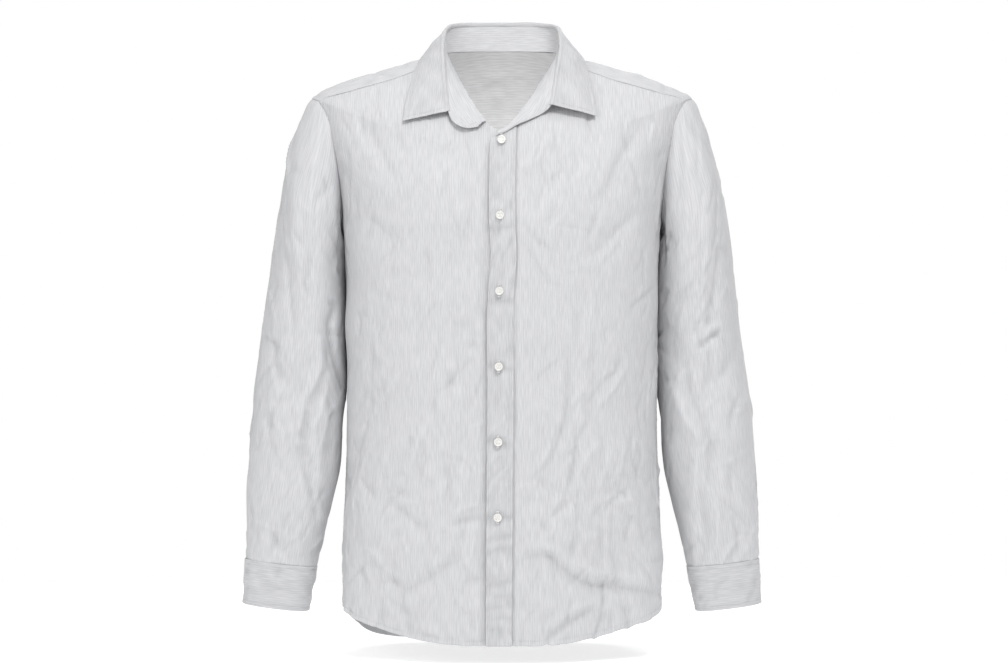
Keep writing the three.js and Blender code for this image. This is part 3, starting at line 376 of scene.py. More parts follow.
# Creases of the wearer's left front by their places seen from the front, and of the right front
# and the back: height (a trough is negative), width, then x and z of the points on the line.
LEFT_FRONT_CREASES = [
    (-1.5, 6, [(79, -350), (79, -414), (76, -446), (66, -474), (54, -500), (38, -532)]),
    (-1.2, 5, [(89, -440), (91, -480), (86, -506), (77, -536)]),
    (-1.0, 5, [(146, -358), (138, -386), (122, -397), (111, -414), (96, -430)]),
    (-1.3, 6, [(100, -528), (73, -550), (58, -560), (43, -584)]),
    (-0.9, 4, [(125, -543), (108, -564)]), (-1.0, 5, [(123, -560), (123, -630)]),
    (-0.9, 4, [(135, -543), (135, -617)]),
    (-2.1, 7, [(14, -622), (25, -612), (31, -609), (48, -606), (60, -609), (78, -627),
               (98, -640), (114, -645), (131, -647), (151, -650), (171, -654), (194, -662)]),
    (1.6, 10, [(22, -598), (48, -594), (66, -600), (84, -616), (104, -629), (134, -634),
               (178, -640)]),
    (-1.2, 5, [(90, -580), (83, -612), (78, -630)]), (-1.6, 4, [(125, -634), (125, -673)]),
    (-1.9, 6, [(118, -672), (108, -675), (88, -686), (71, -697), (50, -710)]),
    (1.4, 8, [(112, -662), (90, -672), (70, -684), (50, -694)]),
    (-1.2, 4, [(135, -672), (135, -706)]),
    (-1.8, 13, [(176, -70), (158, -103), (144, -126), (131, -156), (114, -185)]),
    (-1.7, 13, [(164, -188), (141, -216), (121, -236), (96, -252)]),
    (-1.1, 6, [(188, -282), (171, -296), (154, -310)]), (-0.8, 5, [(123, -460), (123, -508)]),
    (1.0, 7, [(60, -470), (48, -492), (36, -512)]), (1.1, 7, [(104, -392), (92, -420), (96, -452)]),
    (-0.9, 5, [(176, -400), (166, -430), (170, -470)]), (0.9, 6, [(150, -470), (140, -520)]),
    (-1.0, 6, [(30, -560), (52, -574), (66, -590)]), (-0.9, 5, [(160, -560), (150, -600)]),
]
RIGHT_FRONT_CREASES = [
    (-1.7, 5, [(-66, -572), (-43, -565), (-12, -563)]),
    (-1.6, 7, [(-42, -560), (-49, -587), (-54, -604), (-67, -621), (-88, -634), (-101, -643),
               (-121, -654), (-124, -674), (-136, -692)]),
    (-0.9, 5, [(-100, -660), (-108, -694)]), (-1.1, 5, [(-48, -638), (-16, -633)]),
    (-1.5, 4, [(-174, -516), (-155, -540)]), (1.2, 6, [(-168, -598), (-144, -612)]),
    (-0.9, 4, [(-31, -400), (-28, -442)]), (-0.9, 4, [(-58, -398), (-80, -412)]),
    (-0.9, 4, [(-40, -355), (-20, -354)]), (-0.8, 4, [(-33, -212), (-22, -246)]),
    (-1.6, 13, [(-172, -72), (-156, -106), (-140, -134), (-122, -164)]),
    (-1.5, 12, [(-170, -190), (-146, -214), (-118, -232)]),
    (-0.8, 6, [(-110, -300), (-98, -340), (-100, -372)]),
    (-0.8, 6, [(-150, -380), (-140, -420), (-146, -462)]),
    (-0.9, 6, [(-72, -480), (-64, -520), (-70, -548)]),
    (0.8, 7, [(-118, -560), (-104, -590), (-108, -620)]),
    (-0.9, 6, [(-60, -662), (-40, -680), (-30, -704)]), (-0.8, 5, [(-160, -640), (-170, -664)]),
]
BACK_ROUND = 1.12             # the way round the back's cloth for each millimetre of x
BACK_CREASES = [
    (-2.6, 8, [(-170, -640), (-120, -624), (-70, -612), (-20, -622), (30, -640)]),
    (1.5, 10, [(-150, -618), (-90, -598), (-30, -604), (20, -622)]),
    (-2.2, 8, [(170, -600), (130, -618), (90, -650), (60, -690)]),
    (-1.8, 7, [(150, -470), (110, -500), (80, -540), (60, -580)]),
    (-1.6, 7, [(-160, -430), (-120, -470), (-90, -520), (-80, -560)]),
    (-1.6, 8, [(140, -330), (90, -360), (40, -372), (-10, -366)]),
    (1.3, 9, [(130, -312), (80, -338), (30, -350)]),
    (-1.6, 8, [(-150, -300), (-100, -330), (-50, -342)]),
    (-1.9, 11, [(180, -180), (150, -215), (120, -240)]),
    (-1.9, 11, [(-180, -180), (-150, -215), (-118, -242)]),
    (-1.1, 5, [(40, -420), (20, -470), (24, -520)]), (-1.0, 5, [(-30, -450), (-44, -500)]),
    (-1.2, 5, [(100, -430), (90, -470)]), (-1.1, 5, [(-110, -380), (-130, -420)]),
    (-1.3, 5, [(0, -540), (-12, -590)]), (-1.2, 5, [(120, -560), (112, -610)]),
    (-1.4, 6, [(-60, -650), (-70, -700)]), (-1.3, 6, [(20, -660), (34, -712)]),
    (1.0, 7, [(-20, -250), (10, -290)]), (-0.9, 6, [(60, -200), (52, -260)]),
    (-0.9, 6, [(-70, -190), (-60, -250)]),
]
# Creases of the sleeves, seen from the front; each is laid on the back of the other sleeve too.
SLEEVE_CREASES = {            # 1 is the wearer's left sleeve, -1 the right
    1: [
        (1.6, 8, [(232, -90), (224, -137), (208, -179), (204, -238)]),
        (-1.7, 7, [(232, -66), (235, -120), (227, -163), (219, -188)]),
        (-1.3, 6, [(242, -226), (239, -284)]), (1.3, 7, [(248, -238), (246, -330)]),
        (-1.4, 6, [(266, -226), (261, -272), (255, -314), (252, -336)]),
        (-2.6, 4.5, [(272, -336), (256, -346), (240, -359)]),
        (1.0, 5, [(272, -326), (256, -335), (242, -346)]),
        (-1.2, 5, [(226, -370), (231, -414)]), (-1.2, 5, [(255, -357), (255, -404)]),
        (2.6, 9, [(208, -396), (232, -452), (240, -469), (239, -520), (236, -560)]),
        (-1.8, 7, [(222, -392), (248, -450), (256, -480), (254, -530)]),
        (-1.3, 5, [(283, -498), (282, -538)]), (-1.7, 5, [(243, -530), (246, -557), (254, -612)]),
        (1.4, 6, [(262, -540), (266, -580), (262, -612)]),
        (-1.5, 5, [(284, -560), (292, -590), (288, -616)]),
        (-1.2, 5, [(288, -420), (280, -460)]), (1.1, 6, [(226, -300), (216, -340)]),
        (-0.7, 5, [(214, -200), (206, -216), (214, -232), (206, -250)]),
        (-2.4, 5, [(213, -150), (206, -186), (203, -222), (203, -256)]),
    ],
    -1: [
        (1.6, 8, [(-231, -64), (-228, -104), (-219, -136), (-209, -175), (-203, -214)]),
        (-1.3, 6, [(-240, -188), (-246, -236)]),
        (-1.5, 6, [(-232, -222), (-238, -278), (-244, -312)]),
        (-1.4, 6, [(-266, -242), (-261, -298), (-255, -354)]),
        (2.2, 8, [(-225, -342), (-223, -379), (-232, -402), (-245, -424), (-249, -464)]),
        (1.8, 7, [(-213, -382), (-219, -418), (-232, -453), (-232, -492), (-225, -532)]),
        (-2.4, 5, [(-237, -434), (-246, -472)]), (-1.5, 5, [(-236, -484), (-231, -514)]),
        (1.6, 7, [(-194, -400), (-216, -440), (-222, -476), (-227, -514)]),
        (-1.9, 6, [(-250, -476), (-242, -515), (-232, -547), (-229, -570)]),
        (-1.5, 5, [(-262, -560), (-272, -586), (-266, -612)]),
        (1.5, 6, [(-246, -568), (-252, -592), (-248, -614)]),
        (-1.4, 5, [(-286, -572), (-280, -596), (-290, -616)]),
        (-1.1, 5, [(-286, -330), (-280, -376)]), (-1.2, 5, [(-290, -430), (-284, -480)]),
        (-0.7, 5, [(-206, -200), (-214, -218), (-205, -236), (-212, -256)]),
        (-3.4, 7, [(-206, -300), (-212, -330), (-209, -360), (-203, -392), (-201, -410)]),
        (-3.0, 6, [(-217, -140), (-209, -180), (-204, -222), (-203, -268)]),
    ],
}


def front_places(points):
    """Where points seen from the front are in the cloth of a front."""
    x, z = np.array(points, float).T
    level = level_at(np.clip(x, -194, 194), z)
    across = body_cloth(angle_at(np.clip(x, -194, 194), level), level, 90)[:, 0]
    return np.stack([across, z], -1)


FRONT_LINES = [(deep, wide, front_places(points)) for deep, wide, points in LEFT_FRONT_CREASES]
FRONT_LINES += [(0.85 * deep, wide, front_places(points)) for deep, wide, points in RIGHT_FRONT_CREASES]


def front_crumple(place):
    """Crumple and creases of both fronts; the placket takes part of them too."""
    height = crumple(place, np.random.default_rng(11), 0.45, 1.1)
    press_in(height, place, FRONT_LINES)
    small_creases(height, place, np.random.default_rng(12), 260, 4, 22, 0.9)
    lower = height * 0
    small_creases(lower, place, np.random.default_rng(13), 130, -42, 30, 0.9)
    return height + lower * smoothstep(-place[..., 1], 420, 520)


def back_crumple(place):
    height = crumple(place, np.random.default_rng(21), 0.55, 1.2)
    press_in(height, place, [(deep, wide, np.array(points, float) * (BACK_ROUND, 1))
                             for deep, wide, points in BACK_CREASES], 1)
    small_creases(height, place, np.random.default_rng(22), 260, 10, 40, 1.1)
    return height


# ---- cloth shells ----

def steps_along(length, step, near_ends):
    """Shares of a length in even steps, with finer ones at both ends."""
    fine = np.array(near_ends, float)
    inner = np.arange(fine[-1] + step, length - fine[-1] - step / 2, step)
    return np.concatenate([[0], fine, inner, length - fine[::-1], [length]]) / length


def edge_distances(points):
    """Millimetres from each grid point to the first and last column and to both end rows."""
    across = np.linalg.norm(np.diff(points, axis=1), axis=-1)
    up = np.linalg.norm(np.diff(points, axis=0), axis=-1)
    left = np.concatenate([np.zeros((len(points), 1)), np.cumsum(across, 1)], 1)
    bottom = np.concatenate([np.zeros((1, points.shape[1])), np.cumsum(up, 0)], 0)
    return {"left": left, "right": left[:, -1:] - left, "bottom": bottom, "top": bottom[-1:] - bottom}


def grid_normals(points, around=False, flip=False):
    if around:
        across = np.roll(points, -1, 1) - np.roll(points, 1, 1)
    else:
        across = np.gradient(points, axis=1)
    return unit(np.cross(across, np.gradient(points, axis=0))) * (-1 if flip else 1)


HOLLOW_CELLS, HOLLOW_DEEP = 4, 2.4           # cells compared on each side, depth of a full hollow


# its value is painted as shade into the shirting's colour
def hollows(height, around=False):
    """How far each place lies below the cloth beside it, from -0.5 on a ridge to 1 in a crease."""
    mean, beside = height, 2 * HOLLOW_CELLS + 1
    for axis, closed in ((0, False), (1, around)):
        padded = np.pad(mean, [(HOLLOW_CELLS, HOLLOW_CELLS) if axis == i else (0, 0) for i in (0, 1)],
                        mode="wrap" if closed else "edge")
        mean = sum(padded.take(np.arange(mean.shape[axis]) + k, axis) for k in range(beside)) / beside
    return np.clip((mean - height) / HOLLOW_DEEP, -0.5, 1)


def add_piece(name, mesh, material):
    """A smooth piece of the shirt at the origin."""
    mesh.polygons.foreach_set("use_smooth", np.ones(len(mesh.polygons), bool))
    mesh.materials.append(material)
    mesh.validate()
    mesh.update()
    return stand(name, mesh)


def stand(name, data):
    thing = bpy.data.objects.new(name, data)
    bpy.context.scene.collection.objects.link(thing)
    return thing


def dressed(piece, node):
    """The piece stands for its solid."""
    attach(piece, "root")
    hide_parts(node)
    return piece


def rim_of(line, outer, inner, normals, thick, start):
    """Points of a rounded rim along a closed line of a shell's edge, and the faces to both walls."""
    following = np.roll(line, -1)
    tangent = unit(outer[following] - outer[np.roll(line, 1)])
    away = unit(np.cross(tangent, normals[line]))
    ring = start + np.arange(len(line))
    ring_next = np.roll(ring, -1)
    count = len(outer)
    return ((outer[line] + inner[line]) / 2 + away * thick * 0.42,
            [np.stack([line, ring, ring_next, following], -1),
             np.stack([ring, line + count, following + count, ring_next], -1)])


def shell(node, made, thick, around=False, flip=False):
    """A closed shell of cloth for a node: the grid is its outer face, and its rim is rounded."""
    points, cloth = made["points"], made["cloth"].reshape(-1, 2)
    rows, columns = points.shape[:2]
    normals = grid_normals(points, around, flip).reshape(-1, 3)
    outer = points.reshape(-1, 3)
    inner = outer - normals * thick
    count = rows * columns
    index = np.arange(count).reshape(rows, columns)
    right = np.roll(index, -1, 1) if around else index[:, 1:]
    left = index if around else index[:, :-1]
    quads = np.stack([left[:-1], right[:-1], right[1:], left[1:]], -1).reshape(-1, 4)
    lines = [index[0], index[-1][::-1]] if around else [
        np.concatenate([index[0], index[1:, -1], index[-1, -2::-1], index[-2:0:-1, 0]])]
    if flip:
        quads = quads[:, ::-1]
        lines = [line[::-1] for line in lines]
    vertices, faces = [outer, inner], [quads, quads[:, ::-1] + count]
    for line in lines:
        rim, rim_faces = rim_of(line, outer, inner, normals, thick, sum(map(len, vertices)))
        vertices.append(rim)
        faces += rim_faces
    mesh = bpy.data.meshes.new(f"cloth_{node}")
    mesh.from_pydata((np.concatenate(vertices) * MM).tolist(), [], np.concatenate(faces).tolist())
    at_vertex = np.concatenate([cloth, cloth] + [cloth[line] for line in lines]) * MM
    corners = np.empty(len(mesh.loops), np.int32)
    mesh.loops.foreach_get("vertex_index", corners)
    uv = at_vertex[corners]
    if around:
        # the last column of faces runs on past the cloth's end instead of back to its start
        per_face = uv.reshape(-1, 4, 2)
        span, start = np.ptp(cloth[:, 0]) * MM, cloth[:, 0].min() * MM
        wraps = np.ptp(per_face[..., 0], axis=1) > span / 2
        low = per_face[..., 0] < start + span / 2
        per_face[..., 0] += np.where(wraps[:, None] & low, span * columns / (columns - 1), 0)
        uv = per_face.reshape(-1, 2)
    layer = mesh.uv_layers.new(name="cloth")
    layer.data.foreach_set("uv", uv.astype(np.float32).ravel())
    # painted shade, which the material darkens the outer face's colour by; the inner face gets none
    if "hollow" in made:
        hollow = made["hollow"].ravel()
        values = np.concatenate([hollow, hollow * 0] + [hollow[line] for line in lines])
        mesh.attributes.new("hollow", "FLOAT", "POINT").data.foreach_set(
            "value", values.astype(np.float32))
    return dressed(add_piece(mesh.name, mesh, SHIRTING), node)


# ---- materials ----

def linear(hex_colour):
    """An sRGB hex value as linear RGBA."""
    values = [int(hex_colour[i:i + 2], 16) / 255 for i in (1, 3, 5)]
    return [v / 12.92 if v <= 0.04045 else ((v + 0.055) / 1.055) ** 2.4 for v in values] + [1]


def add_node(material, kind, settings=None, inputs=None):
    """Adds a node; an input is a value or a (node, output) link."""
    node = material.node_tree.nodes.new(kind)
    for key, value in (settings or {}).items():
        setattr(node, key, value)
    for key, value in (inputs or {}).items():
        if isinstance(value, tuple) and isinstance(value[0], bpy.types.Node):
            material.node_tree.links.new(value[0].outputs[value[1]], node.inputs[key])
        else:
            node.inputs[key].default_value = value
    return node


def new_material(name):
    material = bpy.data.materials.new(name)
    material.use_nodes = True
    return material, material.node_tree.nodes["Principled BSDF"]


YARN_PITCH = 2.7              # millimetres between the fine stripes
# painted shade: the creases' shade and the strips' darkness are painted into the shirting's colour
CREASE_SHADE = 0.085          # how much of its light a deep crease loses
STRIP_PAINTED_SHADE = 0.65                  # painted shade that darkens the colour of the strips of several layers all over
SLUB_LONG = 40                # how long a thick place of a yarn shows as a streak


def striped_cotton():
    """Plain-woven shirting with fine irregular grey and white stripes: soft, matt and a little
    fuzzy, so it looks chalky in the light, with streaks of thick and thin yarn along the stripes."""
    material, shader = new_material("striped_cotton_shirting")
    cloth = add_node(material, "ShaderNodeUVMap", {"uv_map": "cloth"})
    parts = add_node(material, "ShaderNodeSeparateXYZ", None, {0: (cloth, 0)})

    def streaks(across_mm, along_mm, detail):
        vector = add_node(material, "ShaderNodeMapping", None, {
            "Vector": (cloth, 0), "Scale": (1000 / across_mm, 1000 / along_mm, 1)})
        return add_node(material, "ShaderNodeTexNoise", {"noise_dimensions": "2D"}, {
            "Vector": (vector, 0), "Scale": 1.0, "Detail": detail, "Roughness": 0.6})

    def maths(operation, a, b=0.0, c=0.0):
        return add_node(material, "ShaderNodeMath", {"operation": operation}, {0: a, 1: b, 2: c})

    wide, fine = streaks(2.1, SLUB_LONG, 1.0), streaks(0.9, 16, 0.0)
    turn = maths("MULTIPLY", (parts, 0), 2 * math.pi * 1000 / YARN_PITCH)
    drift = maths("MULTIPLY_ADD", (wide, 0), 1.6, (turn, 0))
    regular = maths("SINE", (drift, 0))
    mix = maths("MULTIPLY", (wide, 0), 0.45)
    mix = maths("MULTIPLY_ADD", (regular, 0), 0.15, (mix, 0))
    mix = maths("MULTIPLY_ADD", (fine, 0), 1.0, (mix, 0))
    colours = add_node(material, "ShaderNodeValToRGB", None, {0: (mix, 0)})
    ramp = colours.color_ramp
    ramp.elements[0].position, ramp.elements[1].position = 0.46, 1.0
    ramp.elements[0].color, ramp.elements[1].color = linear("#b8b9bb"), linear("#c6c6c8")
    # painted shade: the cloth's colour is darkened where a crease or hollow lies, and on the strips of
    # several layers
    painted_crease_shade = add_node(material, "ShaderNodeAttribute", {"attribute_name": "hollow"})
    darker = maths("MULTIPLY_ADD", (painted_crease_shade, "Fac"), -CREASE_SHADE, 1.0)
    shaded = add_node(material, "ShaderNodeMixRGB", {"blend_type": "MULTIPLY"}, {
        "Fac": 1.0, "Color1": (colours, 0), "Color2": (darker, 0)})
    material.node_tree.links.new(shaded.outputs[0], shader.inputs["Base Color"])
    # the weave is 0.25 mm in the real cloth and drawn at 0.9 mm, as coarse as it needs to show
    weave_across = maths("SINE", (maths("MULTIPLY", (parts, 0), 2 * math.pi * 1000 / 0.9), 0))
    weave_up = maths("SINE", (maths("MULTIPLY", (parts, 1), 2 * math.pi * 1000 / 0.9), 0))
    weave = maths("MULTIPLY", (weave_across, 0), (weave_up, 0))
    bumps = maths("MULTIPLY_ADD", (weave, 0), 0.12, (mix, 0))
    # the finest crumple, under what the shells' creases carry
    folded = add_node(material, "ShaderNodeMapping", None, {
        "Vector": (cloth, 0), "Scale": (1000 / 9, 1000 / 17, 1)})
    fine_crumple = add_node(material, "ShaderNodeTexNoise", {"noise_dimensions": "2D"}, {
        "Vector": (folded, 0), "Scale": 1.0, "Detail": 3.0, "Roughness": 0.6, "Distortion": 0.8})
    crumpled = add_node(material, "ShaderNodeBump", None, {
        "Strength": 0.8, "Distance": 0.0006, "Height": (fine_crumple, 0)})
    bump = add_node(material, "ShaderNodeBump", None, {
        "Strength": 0.35, "Distance": 0.0003, "Height": (bumps, 0), "Normal": (crumpled, 0)})
    material.node_tree.links.new(bump.outputs[0], shader.inputs["Normal"])
    shader.inputs["Roughness"].default_value = 0.92
    shader.inputs["Specular IOR Level"].default_value = 0.25
    shader.inputs["Sheen Weight"].default_value = 0.18
    shader.inputs["Sheen Roughness"].default_value = 0.5
    return material


def grained(name, scale, detail, dark, light, roughness):
    """A small hard thing whose colour goes from dark to light with a fine grain."""
    material, shader = new_material(name)
    place = add_node(material, "ShaderNodeTexCoord")
    grain = add_node(material, "ShaderNodeTexNoise", None, {
        "Vector": (place, "Object"), "Scale": scale, "Detail": detail})
    colours = add_node(material, "ShaderNodeValToRGB", None, {0: (grain, 0)})
    colours.color_ramp.elements[0].color = linear(dark)
    colours.color_ramp.elements[1].color = linear(light)
    material.node_tree.links.new(colours.outputs[0], shader.inputs["Base Color"])
    shader.inputs["Roughness"].default_value = roughness
    return material, shader


def button_plastic():
    """Glossy white polyester, turned and polished: clean highlights, a faint milky grain of 2 mm."""
    material, shader = grained("polished_white_polyester", 500.0, 2.0, "#d2d1cd", "#e0dfdc", 0.22)
    shader.inputs["IOR"].default_value = 1.54
    return material


def sewing_thread(name, dark, light):
    """Spun polyester thread: matt, its twist a grain of lighter and darker yarn, 0.7 mm long."""
    return grained(name, 1500.0, 1.0, dark, light, 0.7)[0]


SHIRTING = striped_cotton()
BUTTON_PLASTIC = button_plastic()
GREY_THREAD = sewing_thread("grey_sewing_thread", "#b4b6ba", "#d8d9dc")
WHITE_THREAD = sewing_thread("white_sewing_thread", "#dededc", "#f4f4f2")

# ---- body panels ----

ROWS = SIDE_ROWS + ARMHOLE_ROWS
CELL = 2.6                    # millimetres between the points of a panel
SEAM_STEPS = (0.7, 1.6, 3.0, 4.6, 5.6, 6.6, 8.2)   # finer ones near an edge with stitches
EDGE_STEPS = SEAM_STEPS[:4]


def on_seam(seam, share):
    """Angle and level at a share of the way along a seam."""
    return along_rows(seam, np.arange(len(seam)), np.asarray(share) * (len(seam) - 1))


def mirror_front(places):
    """The same places on the right side, for a panel of the front."""
    return np.stack([180 - places[..., 0], places[..., 1]], -1)


def mirror_back(places):
    return np.stack([-180 - places[..., 0], places[..., 1]], -1)


def mix(a, b, share):
    return a + (b - a) * share


def front_edge(rows, x, neck_x, neck_end):
    """Middle edge of a front, then the neck seam up to the yoke."""
    bend = SIDE_ROWS + ARMHOLE_ROWS / 2
    rise = np.where(rows <= SIDE_ROWS, UNDERARM * rows / SIDE_ROWS,
                    mix(UNDERARM, NECK_SEAM, (rows - SIDE_ROWS) / (bend - SIDE_ROWS)))
    rise = np.minimum(rise, NECK_SEAM)
    angle = angle_at(mix(x, neck_x, np.clip(rows - bend + 1, 0, 1)), rise)
    share = np.clip((rows - bend) / (ROWS - bend), 0, 1)
    at_neck = mix(angle_at(neck_x, NECK_SEAM), neck_end, share)
    return np.stack([np.where(rows <= bend, angle, at_neck), rise], -1)


def side_edge(rows, armhole):
    """Side seam, then the armhole."""
    below = np.stack([rows * 0, UNDERARM * rows / SIDE_ROWS], -1)
    above = on_seam(armhole, np.clip((rows - SIDE_ROWS) / ARMHOLE_ROWS, 0, 1))
    return np.where((rows <= SIDE_ROWS)[:, None], below, above)


def panel_places(rows, left, right, top, shares):
    """Angle and level of a panel's grid between its side edges, bent up to its top seam."""
    shares = shares[:, None]
    place = mix(left[:, None], right[:, None], shares)
    straight = mix(left[-1], right[-1], shares)
    return place + (top - straight) * ((rows / ROWS) ** 3)[:, None, None]


def row_stops(cell):
    """Row numbers of a panel from the hem to its top seam."""
    side = steps_along(UNDERARM, cell, SEAM_STEPS[:-1])[:-1] * SIDE_ROWS
    above = SIDE_ROWS + steps_along(190, cell, SEAM_STEPS[:5])[1:] * ARMHOLE_ROWS
    return np.concatenate([side, [SIDE_ROWS], above])


def hem_relief(distance):
    """A turned hem: a little proud of the cloth, its stitches pulled in along its upper edge."""
    return (0.5 * (1 - smoothstep(distance, HEM_STITCH - 0.4, HEM_STITCH + 1))
            - 0.55 * bell(distance, HEM_STITCH, 0.9))


def seam_relief(distance, along, wide, proud):
    """A felled seam: proud as far as its inner line of stitches, with puckers over it."""
    pucker = 0.22 * np.sin(2 * np.pi * along / 6.5 + 1.3 * np.sin(along / 31)) * np.exp(-distance / 9)
    return (proud * (1 - smoothstep(distance, wide - 1, wide + 1)) - 0.2 * bell(distance, 0, 1.1)
            - 0.35 * bell(distance, wide, 0.9) + pucker * smoothstep(distance, 0, 3))


def body_panel(places, middle, relief, seams):
    """Grid of a panel with its relief; seams maps an edge to (width, proud) of its seam."""
    angle, level = places[..., 0], places[..., 1]
    plain = body(angle, level)
    normals = skin_normal(body, angle, level, 0.4, 2)
    at = body_cloth(angle, level, middle)
    far = edge_distances(plain)
    height = relief(at)
    # painted shade in the creases of the crumple
    hollow = hollows(height)
    for edge in seams:
        height = height * mix(0.12, 1, smoothstep(far[edge], 2, 26))
    for edge, (wide, proud) in seams.items():
        along = far["bottom" if edge in ("left", "right") else "left"]
        height += seam_relief(far[edge], along, wide, proud)
    height += hem_relief(far["bottom"])
    return {"points": plain + normals * height[..., None], "cloth": at, "far": far,
            "normals": normals, "hollow": hollow}


rows_up = row_stops(CELL)
front_side = side_edge(rows_up, FRONT_ARMHOLE)
front_shares = steps_along(285, CELL, SEAM_STEPS)
left_places = panel_places(
    rows_up, front_edge(rows_up, FRONT_EDGE, FRONT_EDGE, FRONT_YOKE_SEAM[0, 0]), front_side,
    on_seam(FRONT_YOKE_SEAM, front_shares), front_shares)
right_places = panel_places(
    rows_up, mirror_front(front_side),
    front_edge(rows_up, FRONT_OVERLAP, bare_skin(90, NECK_SEAM)[0], 180 - FRONT_YOKE_SEAM[0, 0]),
    mirror_front(on_seam(FRONT_YOKE_SEAM, 1 - front_shares)), front_shares)


def placket_shift(level):
    """The placket leans a little: how far it is from upright at a level."""
    return PLACKET_LEAN * (1 - level / NECK_SEAM)


def front_relief(at):
    """Crumple of a front, kept low under the placket and pulled in along both its edges."""
    height = front_crumple(at)
    across = at[..., 0]
    under = 1 - smoothstep(np.abs(across), 14, 40)
    height = mix(height, np.clip(height * 0.4 - 0.5, -1.5, 0.1), under)
    shift = placket_shift(at[..., 1] + 735)
    return (height - 1.3 * bell(across, PLACKET_RIGHT + shift + 1.2, 1.8)
            - 1.6 * bell(across, PLACKET_LEFT + shift - 2.5, 4))


# each edge of a panel with a seam: where its stitches run, and how proud it is
ARM_SEAM, YOKE_SEAM = (ARM_STITCH, 0.2), (FRONT_YOKE_STITCH, 0.0)
left_front = body_panel(left_places, 90, front_relief, {"right": ARM_SEAM, "top": YOKE_SEAM})
right_front = body_panel(right_places, 90, front_relief, {"left": ARM_SEAM, "top": YOKE_SEAM})

back_side = side_edge(rows_up, BACK_ARMHOLE)
back_columns = 2 * FRONT_COLUMNS + NECK_COLUMNS


def back_yoke_seam(share):
    end = BACK_ARMHOLE[-1]
    angle = mix(end[0], -180 - end[0], share)
    return np.stack([angle, mix(BACK_YOKE_LEVEL, end[1], np.abs(2 * share - 1) ** 3)], -1)


back_shares = steps_along(560, 3.3, SEAM_STEPS)
back_places = panel_places(rows_up, back_side, mirror_back(back_side),
                           back_yoke_seam(back_shares), back_shares)
back = body_panel(back_places, -90, back_crumple,
                  {"left": ARM_SEAM, "right": ARM_SEAM, "top": YOKE_SEAM})


def yoke_upper_edge(share):
    column = share * back_columns
    left = on_seam(FRONT_YOKE_SEAM, np.clip(1 - column / FRONT_COLUMNS, 0, 1))
    right = mirror_back(on_seam(FRONT_YOKE_SEAM, np.clip(
        (column - FRONT_COLUMNS - NECK_COLUMNS) / FRONT_COLUMNS, 0, 1)))
    start = FRONT_YOKE_SEAM[0, 0]
    share = np.clip((column - FRONT_COLUMNS) / NECK_COLUMNS, 0, 1)
    neck = np.stack([mix(start, -180 - start, share), share * 0 + NECK_SEAM], -1)
    side = column[:, None]
    return np.where(side <= FRONT_COLUMNS, left,
                    np.where(side >= FRONT_COLUMNS + NECK_COLUMNS, right, neck))


def yoke_places(rise, shares):
    left = on_seam(YOKE_ARMHOLE, rise)
    right = mirror_back(left)
    lower, upper = back_yoke_seam(shares), yoke_upper_edge(shares)
    rise, share = rise[:, None, None], shares[None, :, None]
    corners = mix(mix(lower[0], lower[-1], share), mix(upper[0], upper[-1], share), rise)
    return mix(lower[None], upper[None], rise) + mix(left[:, None], right[:, None], share) - corners


def yoke_cloth(points):
    """The yoke is cut across the cloth, so its stripes run from shoulder to shoulder."""
    ridge = np.interp(np.abs(points[..., 0]), SHOULDER[:, 0], SHOULDER[:, 2])
    behind = points[..., 1] - SHOULDER[0, 1]
    away = np.hypot(behind, points[..., 2] - ridge)
    return np.stack([away * np.where(behind > 0, 1, -1), points[..., 0]], -1)


def yoke_panel():
    # the corners of the upper edge lie on columns, so that its three seams stay sharp
    side = steps_along(175, 3.3, SEAM_STEPS[:5]) / 3
    neck = 1 / 3 + steps_along(230, 3.6, (1.6,))[1:-1] / 3
    shares = np.concatenate([side, neck, 1 - side[::-1]])
    places = yoke_places(steps_along(118, 3.0, SEAM_STEPS[:5]), shares)
    angle, level = places[..., 0], places[..., 1]
    plain = body(angle, level)
    normals = skin_normal(body, angle, level, 0.4, 2)
    at = yoke_cloth(plain)
    far = edge_distances(plain)
    flat = plain[..., [0, 2]]
    height = crumple(flat, np.random.default_rng(31), 0.35, 0.8)
    add_crease(height, flat, -1.6, 6, [(-34, 8), (-28, -6), (-12, -12), (6, -9), (14, 2)])
    small_creases(height, flat, np.random.default_rng(32), 60, 60, 50, 0.6)
    # painted shade in the creases of the crumple
    hollow = hollows(height)
    for edge in far.values():
        height = height * mix(0.12, 1, smoothstep(edge, 2, 20))
    height += seam_relief(far["bottom"], far["left"], YOKE_STITCH, 0.4)
    outer = np.abs(2 * shares - 1) > 1 / 3
    height += np.where(outer, seam_relief(far["top"], far["left"], YOKE_STITCH, 0.4), 0)
    for edge in ("left", "right"):
        height += seam_relief(far[edge], far["bottom"], TIP_STITCH, 0.2) - 0.6 * bell(far[edge], 0, 7)
    return {"points": plain + normals * height[..., None], "cloth": at, "far": far,
            "normals": normals, "hollow": hollow}


yoke = yoke_panel()

# ---- sleeves ----

FALL = np.diff(SLEEVE_RINGS, axis=0)
SLEEVE_STOPS = np.concatenate([[0], np.cumsum(
    np.hypot(FALL[:, 0] + FALL[:, 2], FALL[:, 1] + FALL[:, 3]) / 2)])
SLEEVE_LENGTH = SLEEVE_STOPS[-1]


